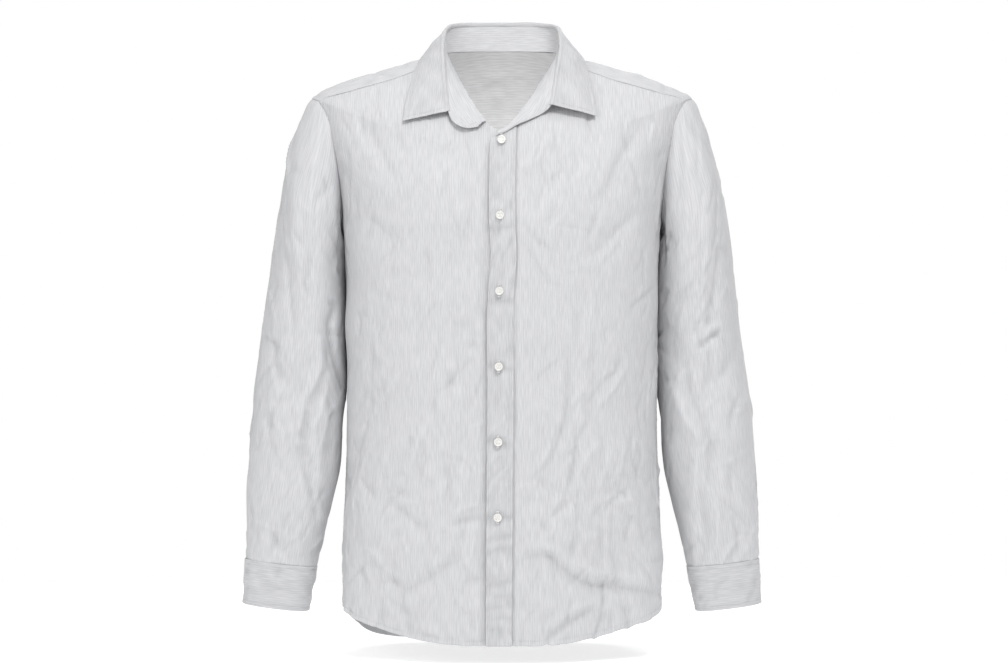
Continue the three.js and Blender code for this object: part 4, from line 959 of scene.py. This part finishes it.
def tube_point(ring, degrees):
    """A place on a tube; a ring's outline is squarer on its inner side."""
    turn = np.radians(degrees)
    cos, sin = np.cos(turn), np.sin(turn)
    square = np.where(cos >= 0, SQUARE_OUT, SQUARE_IN)
    reach = (np.abs(cos) ** square + np.abs(sin) ** square) ** (-1 / square)
    along, across = cos * reach / 2, sin * reach / 2
    out_x, out_z, in_x, in_z, front_y, back_y = np.moveaxis(ring, -1, 0)
    return np.stack([(out_x + in_x) / 2 + (out_x - in_x) * along,
                     (front_y + back_y) / 2 + (front_y - back_y) * across,
                     (out_z + in_z) / 2 + (out_z - in_z) * along], -1)


def bare_sleeve(turn, run):
    turn, run = np.broadcast_arrays(np.asarray(turn, float), np.asarray(run, float))
    return tube_point(along_rows(SLEEVE_RINGS, SLEEVE_STOPS, run * SLEEVE_LENGTH), turn)


def bare_cuff(turn, run):
    turn, run = np.broadcast_arrays(np.asarray(turn, float), np.asarray(run, float))
    return tube_point(mix(CUFF_RINGS[0], CUFF_RINGS[1], run[..., None]), turn)


def tube_normal(tube, turn, run):
    return -skin_normal(tube, turn, run, 1, 0.004)


def sleeve_fold_height(turn, run):
    at = turn % 360
    place = np.stack([at * SLEEVE_STEP, run * SLEEVE_LENGTH], -1)
    height = fold_heights(SLEEVE_FOLDS, place, (SLEEVE_STEP, SLEEVE_LENGTH))
    return height * np.clip(np.abs(at - 180) / 45 - 1, 0, 1)


def armhole_loop(left, stops):
    """Points of an armhole from the shoulder over the front and underarm to the back."""
    # of its 22 stops the first 2 and the last 4 lie on the yoke, 8 on the front, 8 on the back
    yoke_front = on_seam(YOKE_ARMHOLE, np.clip(stops / 6 + 4 / 6, 0, 1))
    front = on_seam(FRONT_ARMHOLE, np.clip(1 - (stops - 2) / 8, 0, 1))
    behind = on_seam(BACK_ARMHOLE, np.clip((stops - 10) / 8, 0, 1))
    yoke_back = on_seam(YOKE_ARMHOLE, np.clip((stops - 18) / 6, 0, 1))
    at = stops[:, None]
    places = np.where(at < 2, yoke_front, np.where(at < 10, front, np.where(
        at < 18, behind, yoke_back)))
    if left:
        return body(places[:, 0], places[:, 1])
    return body(np.where(stops < 10, 180, -180) - places[:, 0], places[:, 1]) * (-1, 1, 1)


def sleeve_cloth(turn, run):
    """Where a place on a sleeve is in its cloth: round it, and down it."""
    # the head is cut so that the stripes go on straight up from the upper arm
    straight = along_rows(SLEEVE_RINGS, SLEEVE_STOPS, HEAD_DROP)
    ring = along_rows(SLEEVE_RINGS, SLEEVE_STOPS, np.minimum(run * SLEEVE_LENGTH, HEAD_DROP))
    drift = (ring[..., 0] + ring[..., 2] - straight[0] - straight[2]) / 2
    return np.stack([cloth_round(bare_sleeve, 90, turn, run) - drift, run * SLEEVE_LENGTH], -1)


def sleeve_places(points, behind):
    """Where points of the left sleeve, seen from one side, are in its cloth."""
    turns, runs = np.meshgrid(np.linspace(-20, 200, 221), np.linspace(0, 1, 260))
    seen = bare_sleeve(turns, runs)[..., [0, 2]].reshape(-1, 2)
    wanted = np.array(points, float)
    best = np.argmin(((seen[None] - wanted[:, None]) ** 2).sum(-1), 1)
    turn, run = turns.ravel()[best], runs.ravel()[best]
    return sleeve_cloth(360 - turn if behind else turn, run)


def sleeve_relief(turn, run, side):
    """Crumple and creases of a sleeve, with the gathers above its cuff."""
    at = sleeve_cloth(turn, run)
    seed = 40 + side
    height = crumple(at, np.random.default_rng(seed), 0.8, 1.5, (1.2, 0.8))
    for behind, facing in ((False, side), (True, -side)):
        press_in(height, at, [(deep, wide, sleeve_places([(x * facing, z) for x, z in points], behind))
                              for deep, wide, points in SLEEVE_CREASES[facing]])
    small_creases(height, at, np.random.default_rng(seed + 10), 260, 12, 38, 0.9)
    # gathers and swirls where the sleeve runs into its cuff
    rng = np.random.default_rng(seed + 20)
    for middle in np.arange(-150, 240, 13.0):
        across = middle + rng.uniform(-5, 5)
        foot = np.array([across, SLEEVE_LENGTH + 14])
        top = foot + (rng.uniform(-14, 14), -rng.uniform(26, 62))
        add_crease(height, at, rng.uniform(-1.5, -0.5), rng.uniform(3, 5.5),
                   [foot, (foot + top) / 2 + (rng.uniform(-3, 3), 0), top])
    return height


def make_sleeve(side):
    """A sleeve from its armhole to inside its cuff, as a grid whose rows run down."""
    stops = np.arange(0, SLEEVE_LOOP, 1 / 7)
    loop = armhole_loop(side > 0, stops)
    first = SLEEVE_RINGS[0]
    middle = np.array([(first[0] + first[2]) / 2, 0, (first[1] + first[3]) / 2])
    outward = np.array([first[0], 0, first[1]]) - middle
    along = ((loop - middle) * (1, 0, 1)) @ outward / (outward @ outward)
    across = ((first[4] + first[5]) / 2 - loop[:, 1]) / ((first[5] - first[4]) / 2)
    turns = np.degrees(np.unwrap(np.arctan2(across, along)))
    run = (steps_along(SLEEVE_LENGTH, 3.1, SEAM_STEPS[:3]) ** 1.15)[:, None]
    own = smoothstep(run, 0, 2.5 * HEAD_RUN)
    head = 1 - smoothstep(run, 0, HEAD_RUN)
    turn = mix(turns[None], 360 * stops[None] / SLEEVE_LOOP, own)
    run = np.broadcast_to(run, turn.shape)
    down = run * SLEEVE_LENGTH
    height = sleeve_relief(turn, run, side)
    # painted shade in the creases of the crumple
    hollow = hollows(height, True)
    height = height * mix(0.1, 1, smoothstep(down, 2, 30))
    inner = 1 - smoothstep(np.abs(turn - 180), 18, 60)
    height = mix(height, np.clip(height, -8, 0.8), inner * smoothstep(run, 0, 0.1))
    height += seam_relief(down, turn * SLEEVE_STEP, 1.0, 0) * 0.4
    height += sleeve_fold_height(turn, run) * smoothstep(run, 0, 0.035)
    # the sleeve rests against the body's side down to the elbow
    rests = smoothstep(down, 2, 45) * (1 - smoothstep(down, *ELBOW))
    height += 6.0 * rests * bell(turn, 180, 34)
    # but a narrow hollow stays open in front of the armpit
    height -= 3.2 * bell(down, 22, 15) * bell(turn, 162, 18) * smoothstep(down, 1, 8)
    height = mix(height, np.clip(height, -0.8, 0) + 0.1,
                 smoothstep(down, SLEEVE_LENGTH - 6, SLEEVE_LENGTH - 1))
    # the sleeve head is full where it leaves the shoulder
    height += 1.8 * bell(down, 5, 7) * bell(np.abs(turn % 360 - 180), 180, 50)
    points = (bare_sleeve(turn, run) + (loop - bare_sleeve(turns, np.zeros(len(turns)))) * head[..., None]
              + tube_normal(bare_sleeve, turn, run) * height[..., None])
    points = points * (side, 1, 1)
    return {"points": points, "cloth": sleeve_cloth(turn, run), "hollow": hollow}


# ---- making the cut pieces of the body and the sleeves ----

for name, panel in (("front_left", left_front), ("front_right", right_front), ("back", back),
                    ("yoke", yoke)):
    shell(name, panel, CLOTH)
for name, side in (("sleeve_left", 1), ("sleeve_right", -1)):
    # the grid's rows run down from the armhole and its columns run over the front
    shell(name, make_sleeve(side), CLOTH, around=True, flip=side < 0)

# ---- placket ----

PLACKET_TOP = np.array([(PLACKET_LEFT, -106), (-4, -99), (6, -94), (PLACKET_RIGHT, -87)], float)


PLACKET_LENGTH = 700           # about, for its steps
PLACKET_RIPPLES = (-640, -655, -668, -682, -697, -585, -600, -560, -470, -380, -300, -212)


def make_placket():
    """The placket from hem to neck: rippled at its foot, with its free edge curling up."""
    shares = steps_along(PLACKET_WIDE, 2.6, (0.5, 1.2, 2.2))
    up = steps_along(PLACKET_LENGTH, 2.8, EDGE_STEPS)
    top_x = np.interp(shares, np.linspace(0, 1, 4), PLACKET_TOP[:, 0])
    top_z = np.interp(shares, np.linspace(0, 1, 4), PLACKET_TOP[:, 1])
    level = up[:, None] * level_at(top_x, top_z)[None]
    x = mix(PLACKET_LEFT, PLACKET_RIGHT, shares)[None]
    seat = mix(x, top_x[None], up[:, None]) + placket_shift(level)
    # it swings a little to its right side near the second and third buttons
    z = bare_skin(90, level)[..., 2]
    seat = seat + 2.6 * bell(z, -245, 34) - 1.2 * bell(z, -330, 40)
    angle = angle_at(seat, level)
    at = body_cloth(angle, level, 90)
    rng = np.random.default_rng(51)
    ripple = np.clip(front_crumple(at) * 0.45, -1.2, 1.0)
    for height_z in PLACKET_RIPPLES:
        slant = rng.uniform(-5, 5)
        add_crease(ripple, at, rng.uniform(-2.2, -1.2), 4,
                   [(-26, height_z - slant), (-4, height_z + rng.uniform(-2, 2)),
                    (20, height_z + slant)])
    across = shares[None] * PLACKET_WIDE
    lift = mix(ON_PANEL - 0.3, ON_PANEL - 1.1, smoothstep(across, 20, PLACKET_WIDE))
    # its free edge curls up off the cloth below
    lift = lift + 1.7 * (1 - smoothstep(across, 0, 7)) * smoothstep(-z, 96, 130)
    lift = lift + (ripple * smoothstep(up[:, None] * PLACKET_LENGTH, 0, 12)
                   * mix(1, 0.5, smoothstep(across, 22, 30)))
    inward = np.minimum(across, PLACKET_WIDE - across)
    lift = lift - 0.4 * bell(inward, PLACKET_STITCH, 1.1) + 0.18 * np.sin(z / 1.9) * np.exp(-inward / 5)
    points = body(angle, level, np.maximum(lift, 0.8))
    # painted shade: the placket is darker all over, and more in its ripples
    return {"points": points, "cloth": np.stack([across + 0 * z, z], -1), "far": edge_distances(points),
            "normals": grid_normals(points), "hollow": STRIP_PAINTED_SHADE + 2.5 * hollows(ripple)}


placket = make_placket()
shell("placket", placket, STRIP)

# ---- collar ----

def lean(angle):
    """The collar's front lies a little to the right: how far, at an angle."""
    return np.where(angle > 0, COLLAR_LEAN * np.sin(np.radians(angle)) ** 2, 0)


def side_stations(side):
    """Angle, roll and free edge of the collar's stations on one side."""
    table = COLLAR_STATIONS
    angle, raised = table[:, 0], table[:, 1] * (side > 0)
    roll = np.stack([table[:, 2] * side + lean(angle), table[:, 3], table[:, 4] + raised], -1)
    edge = np.stack([table[:, 5] * side + lean(angle), table[:, 6], table[:, 7] + raised], -1)
    edge = np.array([lay_on(point, COLLAR_LIFT + SOLID_STRIP) for point in edge])
    ends = BAND_ENDS[side]
    return {"angle": np.concatenate([angle, ends[:, 0]])[:, None],
            "roll": np.concatenate([roll, on_front(ends[:, 1], ends[:, 2], COLLAR_LIFT)]),
            "edge": edge}


STATIONS = {side: side_stations(side) for side in (1, -1)}


def stations_at(places):
    """The collar at places counted from the middle of the back, positive to the left."""
    result = {key: np.zeros((len(places), 3)) for key in ("neck", "belly", "roll", "edge")}
    for side in (1, -1):
        own = places >= 0 if side > 0 else places < 0
        at, table = np.abs(places[own]), STATIONS[side]
        read = {key: along_rows(rows, np.arange(len(rows)), at) for key, rows in table.items()}
        angle = read["angle"][:, 0]
        body_angle = angle if side > 0 else 180 - angle
        result["neck"][own] = body(body_angle, NECK_SEAM + 0 * angle, BAND_SEAT)
        out = skin_normal(bare_skin, body_angle, NECK_SEAM - 1 + 0 * angle, 0.2, 0.5)
        result["belly"][own] = out * (BAND_BELLY * np.clip(np.sin(np.radians(angle)), 0, None))[:, None]
        result["roll"][own], result["edge"][own] = read["roll"], read["edge"]
    return result


def make_band():
    """The collar's band from its left end round the neck to its right one."""
    places = np.linspace(len(STATIONS[1]["angle"]) - 1, 1 - len(STATIONS[-1]["angle"]), 220)
    at = stations_at(places)
    foot = at["neck"] + unit(at["roll"] - at["neck"]) * BAND_SEAT
    share = steps_along(36, 2.6, (0.6, 1.4))[:, None, None]
    points = mix(foot[None], at["roll"][None], share) + at["belly"] * np.sin(np.pi * share)
    far = edge_distances(points)
    lift = -0.3 * bell(np.minimum(far["top"], far["bottom"]), BAND_STITCH, 0.8)
    lift += 0.35 * waves(np.stack([far["left"], far["bottom"]], -1), np.random.default_rng(61), 6, 25, 70)
    points = points + grid_normals(points) * lift[..., None]
    return {"points": points, "cloth": np.stack([far["bottom"], far["left"]], -1), "far": far,
            "normals": grid_normals(points)}


def make_leaf():
    """The leaf from its free edge up to the roll and over it, down to the band's inside."""
    end = len(COLLAR_STATIONS) - 1
    shares = steps_along(430, 2.4, EDGE_STEPS)
    at = stations_at(mix(end, -end, shares))
    neck, roll, edge = at["neck"], at["roll"], at["edge"]
    out = grid_normals(np.stack([neck, roll]))[1]
    up = unit(roll - neck)
    top = roll - out * SOLID_STRIP / 2
    away = edge - top
    fold = np.arctan2((away * out).sum(-1), (away * up).sum(-1))[:, None]

    def facing(turn):
        return up * np.sin(turn) - out * np.cos(turn)
    heading = up * np.cos(fold) + out * np.sin(fold)
    beside = SOLID_STRIP + (SOLID_STRIP / 2 + LEAF_CLEAR) * np.sin(np.clip(fold, 0, None) / 2) ** 2
    shoulder = top + heading * (SOLID_STRIP / 2 + 3 * LEAF_CLEAR) + facing(fold) * beside
    rows = []
    for rise in steps_along(44, 2.4, EDGE_STEPS)[:-1]:
        rows.append(mix(edge, shoulder, rise) + facing(fold) * LEAF_BELLY * math.sin(math.pi * rise))
    for turn in np.linspace(0, 1, 9):
        # round the band's top edge, closer in on its inside
        reach = mix(np.linalg.norm(shoulder - top, axis=-1, keepdims=True), 1.5, turn ** 0.7)
        start = np.arctan2(((shoulder - top) * out).sum(-1), ((shoulder - top) * up).sum(-1))[:, None]
        swing = mix(start, -math.pi / 2 + 0 * start, turn)
        rows.append(top + (up * np.cos(swing) + out * np.sin(swing)) * np.maximum(reach, 1.5))
    rows.append(rows[-1] - up * 2)
    points = np.array(rows)
    far = edge_distances(points)
    lay = np.stack([far["left"], far["bottom"]], -1)
    lift = 0.5 * waves(lay, np.random.default_rng(71), 7, 30, 90) * smoothstep(far["bottom"], 0, 25)
    free = np.minimum(np.minimum(far["left"], far["right"]), far["bottom"])
    lift -= 0.35 * bell(free, LEAF_STITCH, 1)
    lift *= smoothstep(far["top"], 0, 12)
    points = points + grid_normals(points) * lift[..., None]
    # painted shade: the leaf is darker all over, and more in the hollows of its waves
    return {"points": points, "cloth": lay[..., ::-1], "far": far, "normals": grid_normals(points),
            "hollow": STRIP_PAINTED_SHADE + hollows(3 * lift)}


band = make_band()
leaf = make_leaf()
shell("collar_band", band, STRIP)
shell("collar_leaf", leaf, STRIP)

# ---- cuffs and sleeve plackets ----

def cuff_point(turn, run, out=0):
    lap_start = SLIT_TURN + 360 - LAP_DEGREES
    lift = ON_PANEL * smoothstep(turn, lap_start, SLIT_TURN + 360)
    return bare_cuff(turn, run) + tube_normal(bare_cuff, turn, run) * (lift + out)[..., None]


def make_cuff(side):
    """A cuff wrapped round the wrist, its outer end lapping over its inner one."""
    shares = steps_along(300, 2.8, (0.7, 1.6, 3.0, 4.6, 6))
    run = steps_along(58, 2.4, (0.6, 1.4, 2.6, 4.2, 5.2))[:, None]
    turn = SLIT_TURN + (360 + LAP_DEGREES) * shares[None]
    turn, run = np.broadcast_arrays(turn, run)
    far = edge_distances(cuff_point(turn, run))
    lay = np.stack([far["bottom"], far["left"]], -1)
    free = np.minimum(np.minimum(far["left"], far["right"]), np.minimum(far["top"], far["bottom"]))
    lift = 0.5 * waves(lay, np.random.default_rng(80 + side), 8, 22, 80) * smoothstep(free, 1, 14)
    small_creases(lift, lay, np.random.default_rng(82 + side), 36, 80, 30, 0.45)
    lift -= 0.4 * bell(free, CUFF_STITCH, 0.9) + 0.5 * (1 - smoothstep(far["bottom"], 0, 2))
    points = cuff_point(turn, run, np.clip(lift, -1.0, 0.9)) * (side, 1, 1)
    # painted shade: the cuff is darker all over, and more in its hollows
    return {"points": points, "cloth": lay, "far": far, "hollow": STRIP_PAINTED_SHADE + hollows(2 * lift),
            "normals": grid_normals(points, False, side < 0)}


def make_slit_strip(side):
    """The strip sewn over the slit above a cuff."""
    up = steps_along(SLIT_LENGTH, 3.0, (0.7, 1.6, 3.0))[:, None]
    share = steps_along(SLIT_WIDTH, 2.6, (0.6, 1.4))[None] - 0.5
    run, share = np.broadcast_arrays(1 - SLIT_LENGTH * (1 - up) / SLEEVE_LENGTH, share)
    turn = SLIT_TURN + SLIT_WIDTH * share / SLEEVE_STEP
    out = (sleeve_fold_height(turn, run) + ON_PANEL + 0.2
           - 0.35 * bell(np.abs(share) * SLIT_WIDTH, SLIT_WIDTH / 2 - SLIT_STITCH, 0.9))
    points = bare_sleeve(turn, run) + tube_normal(bare_sleeve, turn, run) * out[..., None]
    points = points * (side, 1, 1)
    far = edge_distances(points)
    # painted shade: the strip is darker all over
    return {"points": points, "cloth": np.stack([far["left"], far["bottom"]], -1), "far": far,
            "hollow": STRIP_PAINTED_SHADE + 0 * share, "normals": grid_normals(points, False, side < 0)}


cuffs, slit_strips = {}, {}
for word, side in (("left", 1), ("right", -1)):
    cuffs[side], slit_strips[side] = make_cuff(side), make_slit_strip(side)
    for name, made in ((f"cuff_{word}", cuffs[side]), (f"sleeve_placket_{word}", slit_strips[side])):
        shell(name, made, STRIP, flip=side < 0)

# ---- buttons ----

def nothing_selected():
    bpy.ops.object.select_all(action="DESELECT")


def model_button():
    """One four-hole button at the origin, lying on the plane of X and Y."""
    radius, thick = BUTTON_ACROSS / 2 * MM, BUTTON_THICK * MM
    nothing_selected()
    bpy.ops.mesh.primitive_cylinder_add(vertices=40, radius=radius, depth=thick,
                                        location=(0, 0, thick / 2))
    button = bpy.context.object
    button.name = "button_form"
    bpy.ops.object.mode_set(mode="EDIT")
    bpy.ops.mesh.select_all(action="DESELECT")
    bpy.ops.object.mode_set(mode="OBJECT")
    for face in button.data.polygons:
        face.select = face.normal.z > 0.9
    bpy.ops.object.mode_set(mode="EDIT")
    bpy.ops.mesh.inset(thickness=0.9 * MM, depth=0)
    bpy.ops.mesh.inset(thickness=0.5 * MM, depth=-0.45 * MM)
    bpy.ops.mesh.inset(thickness=0.9 * MM, depth=-0.15 * MM)
    bpy.ops.object.mode_set(mode="OBJECT")
    bpy.ops.object.transform_apply(location=True, rotation=True, scale=True)
    bevel = button.modifiers.new("rim", "BEVEL")
    bevel.width, bevel.segments, bevel.limit_method = 0.35 * MM, 3, "ANGLE"
    bevel.angle_limit = math.radians(50)
    bpy.ops.object.modifier_apply(modifier="rim")
    for x in (-HOLE_SPREAD, HOLE_SPREAD):
        for y in (-HOLE_SPREAD, HOLE_SPREAD):
            nothing_selected()
            bpy.ops.mesh.primitive_cylinder_add(vertices=12, radius=HOLE_ACROSS / 2 * MM,
                                                depth=6 * MM, location=(x * MM, y * MM, 0))
            drill = bpy.context.object
            nothing_selected()
            button.select_set(True)
            bpy.context.view_layer.objects.active = button
            cut = button.modifiers.new("hole", "BOOLEAN")
            cut.operation, cut.object, cut.solver = "DIFFERENCE", drill, "EXACT"
            bpy.ops.object.modifier_apply(modifier="hole")
            bpy.data.objects.remove(drill, do_unlink=True)
    bpy.ops.object.shade_smooth_by_angle(angle=math.radians(35))
    button.data.materials.clear()
    button.data.materials.append(BUTTON_PLASTIC)
    return button


BUTTON_FORM = model_button()


def sew_button(node, point, facing):
    """Sews on a copy of the button for a node, its face along a direction, and gives its place."""
    seat = Vector(np.asarray(point) + np.asarray(facing) * BUTTON_LIFT) * MM
    facing = Vector(facing).normalized()
    across = Vector((0, 0, 1)).cross(facing).normalized()
    turn = Matrix((across, facing.cross(across), facing)).transposed().to_4x4()
    place = Matrix.Translation(seat) @ turn
    mesh = BUTTON_FORM.data.copy()
    mesh.transform(place)
    dressed(stand(f"turned_{node}", mesh), node)
    return place


def threads(name, runs, radius, material):
    """Short round threads along lists of points, joined to one piece."""
    vertices, faces = [], []
    for run in runs:
        run = np.asarray(run, float)
        tangent = unit(np.gradient(run, axis=0))
        side = unit(np.cross(tangent, (0.31, 0.17, 0.93)))
        lift = np.cross(tangent, side)
        start = len(vertices)
        for i, point in enumerate(run):
            girth = radius * (0.45 if i in (0, len(run) - 1) else 1)
            for turn in (0.25, 0.75, 1.25, 1.75):
                angle = math.pi * turn
                vertices.append(point + (side[i] * math.cos(angle) + lift[i] * math.sin(angle)) * girth)
        for i in range(len(run) - 1):
            for k in range(4):
                a, b = start + 4 * i + k, start + 4 * i + (k + 1) % 4
                faces.append((a, b, b + 4, a + 4))
        last = start + 4 * (len(run) - 1)
        faces.append((start + 3, start + 2, start + 1, start))
        faces.append((last, last + 1, last + 2, last + 3))
    mesh = bpy.data.meshes.new(name)
    mesh.from_pydata((np.array(vertices) * MM).tolist(), [], faces)
    piece = add_piece(name, mesh, material)
    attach(piece, "root")


def button_threads(place):
    """Two bars of thread through the four holes of a sewn button."""
    bars = []
    for x in (-HOLE_SPREAD, HOLE_SPREAD):
        for slip in (-0.25, 0.25):
            arch = [(x + slip, -1.9, 0.6), (x + slip, -1.5, 1.75), (x + slip * 0.6, -0.7, 2.05),
                    (x + slip * 0.6, 0.7, 2.05), (x + slip, 1.5, 1.75), (x + slip, 1.9, 0.6)]
            bars.append([np.array(place @ (Vector(p) * MM)) / MM for p in arch])
    return bars


def line_at(made, edge, distance, start=0):
    """The line on a piece's outer face at a distance from one of its edges, lifted just off it."""
    far, points, normals = made["far"][edge], made["points"], made["normals"]
    if edge in ("bottom", "top"):
        far, points, normals = far.T, points.swapaxes(0, 1), normals.swapaxes(0, 1)
    if edge in ("right", "top"):
        far, points, normals = far[:, ::-1], points[:, ::-1], normals[:, ::-1]
    line = []
    for row in range(start, len(far)):
        at = float(np.interp(distance, far[row], np.arange(far.shape[1])))
        i = min(int(at), far.shape[1] - 2)
        line.append(mix(points[row, i], points[row, i + 1], at - i) + normals[row, i] * 0.12)
    return np.array(line)


def stitches(line):
    """Single stitches along a line, each dipping into the cloth at both ends."""
    passed = np.concatenate([[0], np.cumsum(np.linalg.norm(np.diff(line, axis=0), axis=1))])
    runs = []
    for start in np.arange(SEAM_END, passed[-1] - SEAM_END - STITCH, STITCH):
        at = start + np.array([0.15, 0.5, 0.85]) * STITCH
        runs.append(np.stack([np.interp(at, passed, line[:, i]) for i in range(3)], -1))
    return runs


above_underarm = int(np.searchsorted(rows_up, SIDE_ROWS))
seams = {
    "placket_stitches": [(placket, edge, PLACKET_STITCH) for edge in ("left", "right")],
    "hem_stitches": [(panel, "bottom", HEM_STITCH) for panel in (left_front, right_front, back)],
    "armhole_stitches": [(panel, edge, ARM_STITCH, above_underarm) for panel, edge in (
        (left_front, "right"), (right_front, "left"), (back, "left"), (back, "right"))]
    + [(yoke, edge, TIP_STITCH) for edge in ("left", "right")],
    "yoke_stitches": [(left_front, "top", FRONT_YOKE_STITCH), (right_front, "top", FRONT_YOKE_STITCH),
                      (yoke, "bottom", YOKE_STITCH)],
    "collar_stitches": [(leaf, edge, LEAF_STITCH) for edge in ("bottom", "left", "right")]
    + [(band, edge, BAND_STITCH) for edge in ("bottom", "top")],
    "cuff_stitches": [(made, edge, CUFF_STITCH) for made in cuffs.values()
                      for edge in ("top", "bottom", "left", "right")],
    "sleeve_placket_stitches": [(made, edge, SLIT_STITCH) for made in slit_strips.values()
                                for edge in ("left", "right")],
}
for name, lines in seams.items():
    threads(name, [run for line in lines for run in stitches(line_at(*line))], 0.2, GREY_THREAD)


def buttonhole(middle, facing):
    """Satin stitches on both sides of an upright slit, with a bar across each end."""
    along = np.array([0.0, 0.0, 1.0])
    across = np.cross(facing, along)
    middle = middle + facing * 0.2
    runs = []
    for place in np.arange(-BUTTONHOLE / 2, BUTTONHOLE / 2 + 0.1, 0.75):
        for side in (-1, 1):
            near, out = middle + along * place + across * 0.35 * side, across * 1.25 * side
            runs.append([near, near + out * 0.5 + facing * 0.2, near + out])
    for end in (-BUTTONHOLE / 2 - 0.5, BUTTONHOLE / 2 + 0.5):
        for lift in (0, 0.3):
            bar = middle + along * (end + lift)
            runs.append([bar - across * 1.6, bar + facing * 0.25, bar + across * 1.6])
    return runs


sewn, worked = [], []
for i in range(FRONT_BUTTONS):
    level = float(level_at(0.0, FIRST_BUTTON_Z - i * BUTTON_PITCH))
    angle = float(angle_at(placket_shift(level), level))
    facing = skin_normal(bare_skin, np.array(angle), np.array(level), 0.2, 0.5)
    sewn += button_threads(sew_button(f"button_{i + 1}", body(angle, level, ON_PANEL), facing))
    worked += buttonhole(body(angle, level, ON_PANEL), facing)


def solid_band_point():
    """Where the collar button sits: on the solid's own band grid, and the direction there."""
    stations = stations_at(-np.array([9.0, 9.5, 10.0]))
    foot = stations["neck"] + unit(stations["roll"] - stations["neck"]) * BAND_SEAT
    share = (np.arange(4) / 3)[:, None, None]
    grid = mix(foot[None], stations["roll"][None], share) + stations["belly"] * np.sin(np.pi * share)
    across, up = grid[2, 2] - grid[2, 0], grid[3, 1] - grid[1, 1]
    return grid[2, 1], unit(np.cross(across, up))


collar_point, collar_facing = solid_band_point()
sewn += button_threads(sew_button("collar_button", collar_point, collar_facing))
# the collar button's threads come through to the band's inner face
along = unit(np.cross(collar_facing, (0, 0, 1)))
inner_face = collar_point - collar_facing * (STRIP + 0.1)
for row in (-0.9, 0.9):
    bar = inner_face + np.cross(along, collar_facing) * row
    sewn.append([bar - along * 1.6, bar - collar_facing * 0.4, bar + along * 1.6])
for word, side in (("left", 1), ("right", -1)):
    turn = np.array(SLIT_TURN + 360 + LAP_DEGREES / 2)
    point = cuff_point(turn, np.array(0.5)) * (side, 1, 1)
    facing = tube_normal(bare_cuff, turn, np.array(0.5)) * (side, 1, 1)
    sewn += button_threads(sew_button(f"cuff_button_{word}", point, facing))
bpy.data.objects.remove(BUTTON_FORM, do_unlink=True)
threads("button_thread", sewn, 0.24, WHITE_THREAD)
threads("buttonhole_thread", worked, 0.3, WHITE_THREAD)

# ---- the room: floor, light and camera ----

FLOOR_Z = -0.7385
ROOM_LIGHT = 0.485
FLOOR_GLOW = 0.66             # keeps the floor white, with a soft shadow under the hem
CHEST = (0, 0, -0.35)         # what the softboxes face
# Softboxes in metres and watts: name, place, size, power.
SOFTBOXES = [
    ("key_softbox", (0.5, -1.7, 1.9), 0.8, 45), ("fill_softbox", (-1.7, -2.0, 0.8), 1.4, 17),
    ("top_softbox", (0, -0.4, 2.0), 1.2, 10), ("back_softbox", (0.6, 2.6, 1.0), 1.4, 24),
]
CAMERA_PLACE = (0.0025, -3.2, -0.3425)
SENSOR, FOCAL_PIXELS, FRAME_PIXELS = 36, 2560, 1008


def lay_floor():
    nothing_selected()
    bpy.ops.mesh.primitive_plane_add(size=3.4, location=(0, -0.8, FLOOR_Z))
    floor = bpy.context.object
    floor.name = "floor"
    material, shader = new_material("white_studio_floor")
    shader.inputs["Base Color"].default_value = linear("#d6d6d6")
    shader.inputs["Roughness"].default_value = 0.9
    shader.inputs["Specular IOR Level"].default_value = 0.0
    shader.inputs["Emission Color"].default_value = (1, 1, 1, 1)
    shader.inputs["Emission Strength"].default_value = FLOOR_GLOW
    floor.data.materials.append(material)


def light_the_room():
    """A room that is seen white and lights the shirt with less than that."""
    world = bpy.data.worlds.new("white_room")
    world.use_nodes = True
    nodes, links = world.node_tree.nodes, world.node_tree.links
    background = nodes["Background"]
    background.inputs[0].default_value = (1, 1, 1, 1)
    seen, level = nodes.new("ShaderNodeLightPath"), nodes.new("ShaderNodeMapRange")
    level.inputs["To Min"].default_value, level.inputs["To Max"].default_value = ROOM_LIGHT, 1.0
    links.new(seen.outputs["Is Camera Ray"], level.inputs["Value"])
    links.new(level.outputs[0], background.inputs[1])
    bpy.context.scene.world = world


def hang_lamp(name, place, size, power, towards):
    data = bpy.data.lights.new(name, "AREA")
    data.energy, data.size = power, size
    lamp = stand(name, data)
    lamp.location = place
    lamp.rotation_euler = towards.to_track_quat("-Z", "Y").to_euler()
    return lamp


def set_camera():
    data = bpy.data.cameras.new("camera")
    data.sensor_width, data.lens = SENSOR, SENSOR * FOCAL_PIXELS / FRAME_PIXELS
    camera = stand("camera", data)
    camera.location = CAMERA_PLACE
    camera.rotation_euler = (math.pi / 2, 0, 0)
    bpy.context.scene.camera = camera
    bpy.context.scene.view_settings.view_transform = "Standard"


lay_floor()
light_the_room()
for name, place, size, power in SOFTBOXES:
    hang_lamp(name, place, size, power, Vector(CHEST) - Vector(place))
# a small warm lamp lights the inside of the neck, where the softboxes hardly reach
inside = hang_lamp("lamp_in_the_chest", (0, -0.06, -0.17), 0.08, 0.34, Vector((0, 1, 0.45)))
inside.data.color = (1, 0.985, 0.96)
inside.visible_camera = False
set_camera()
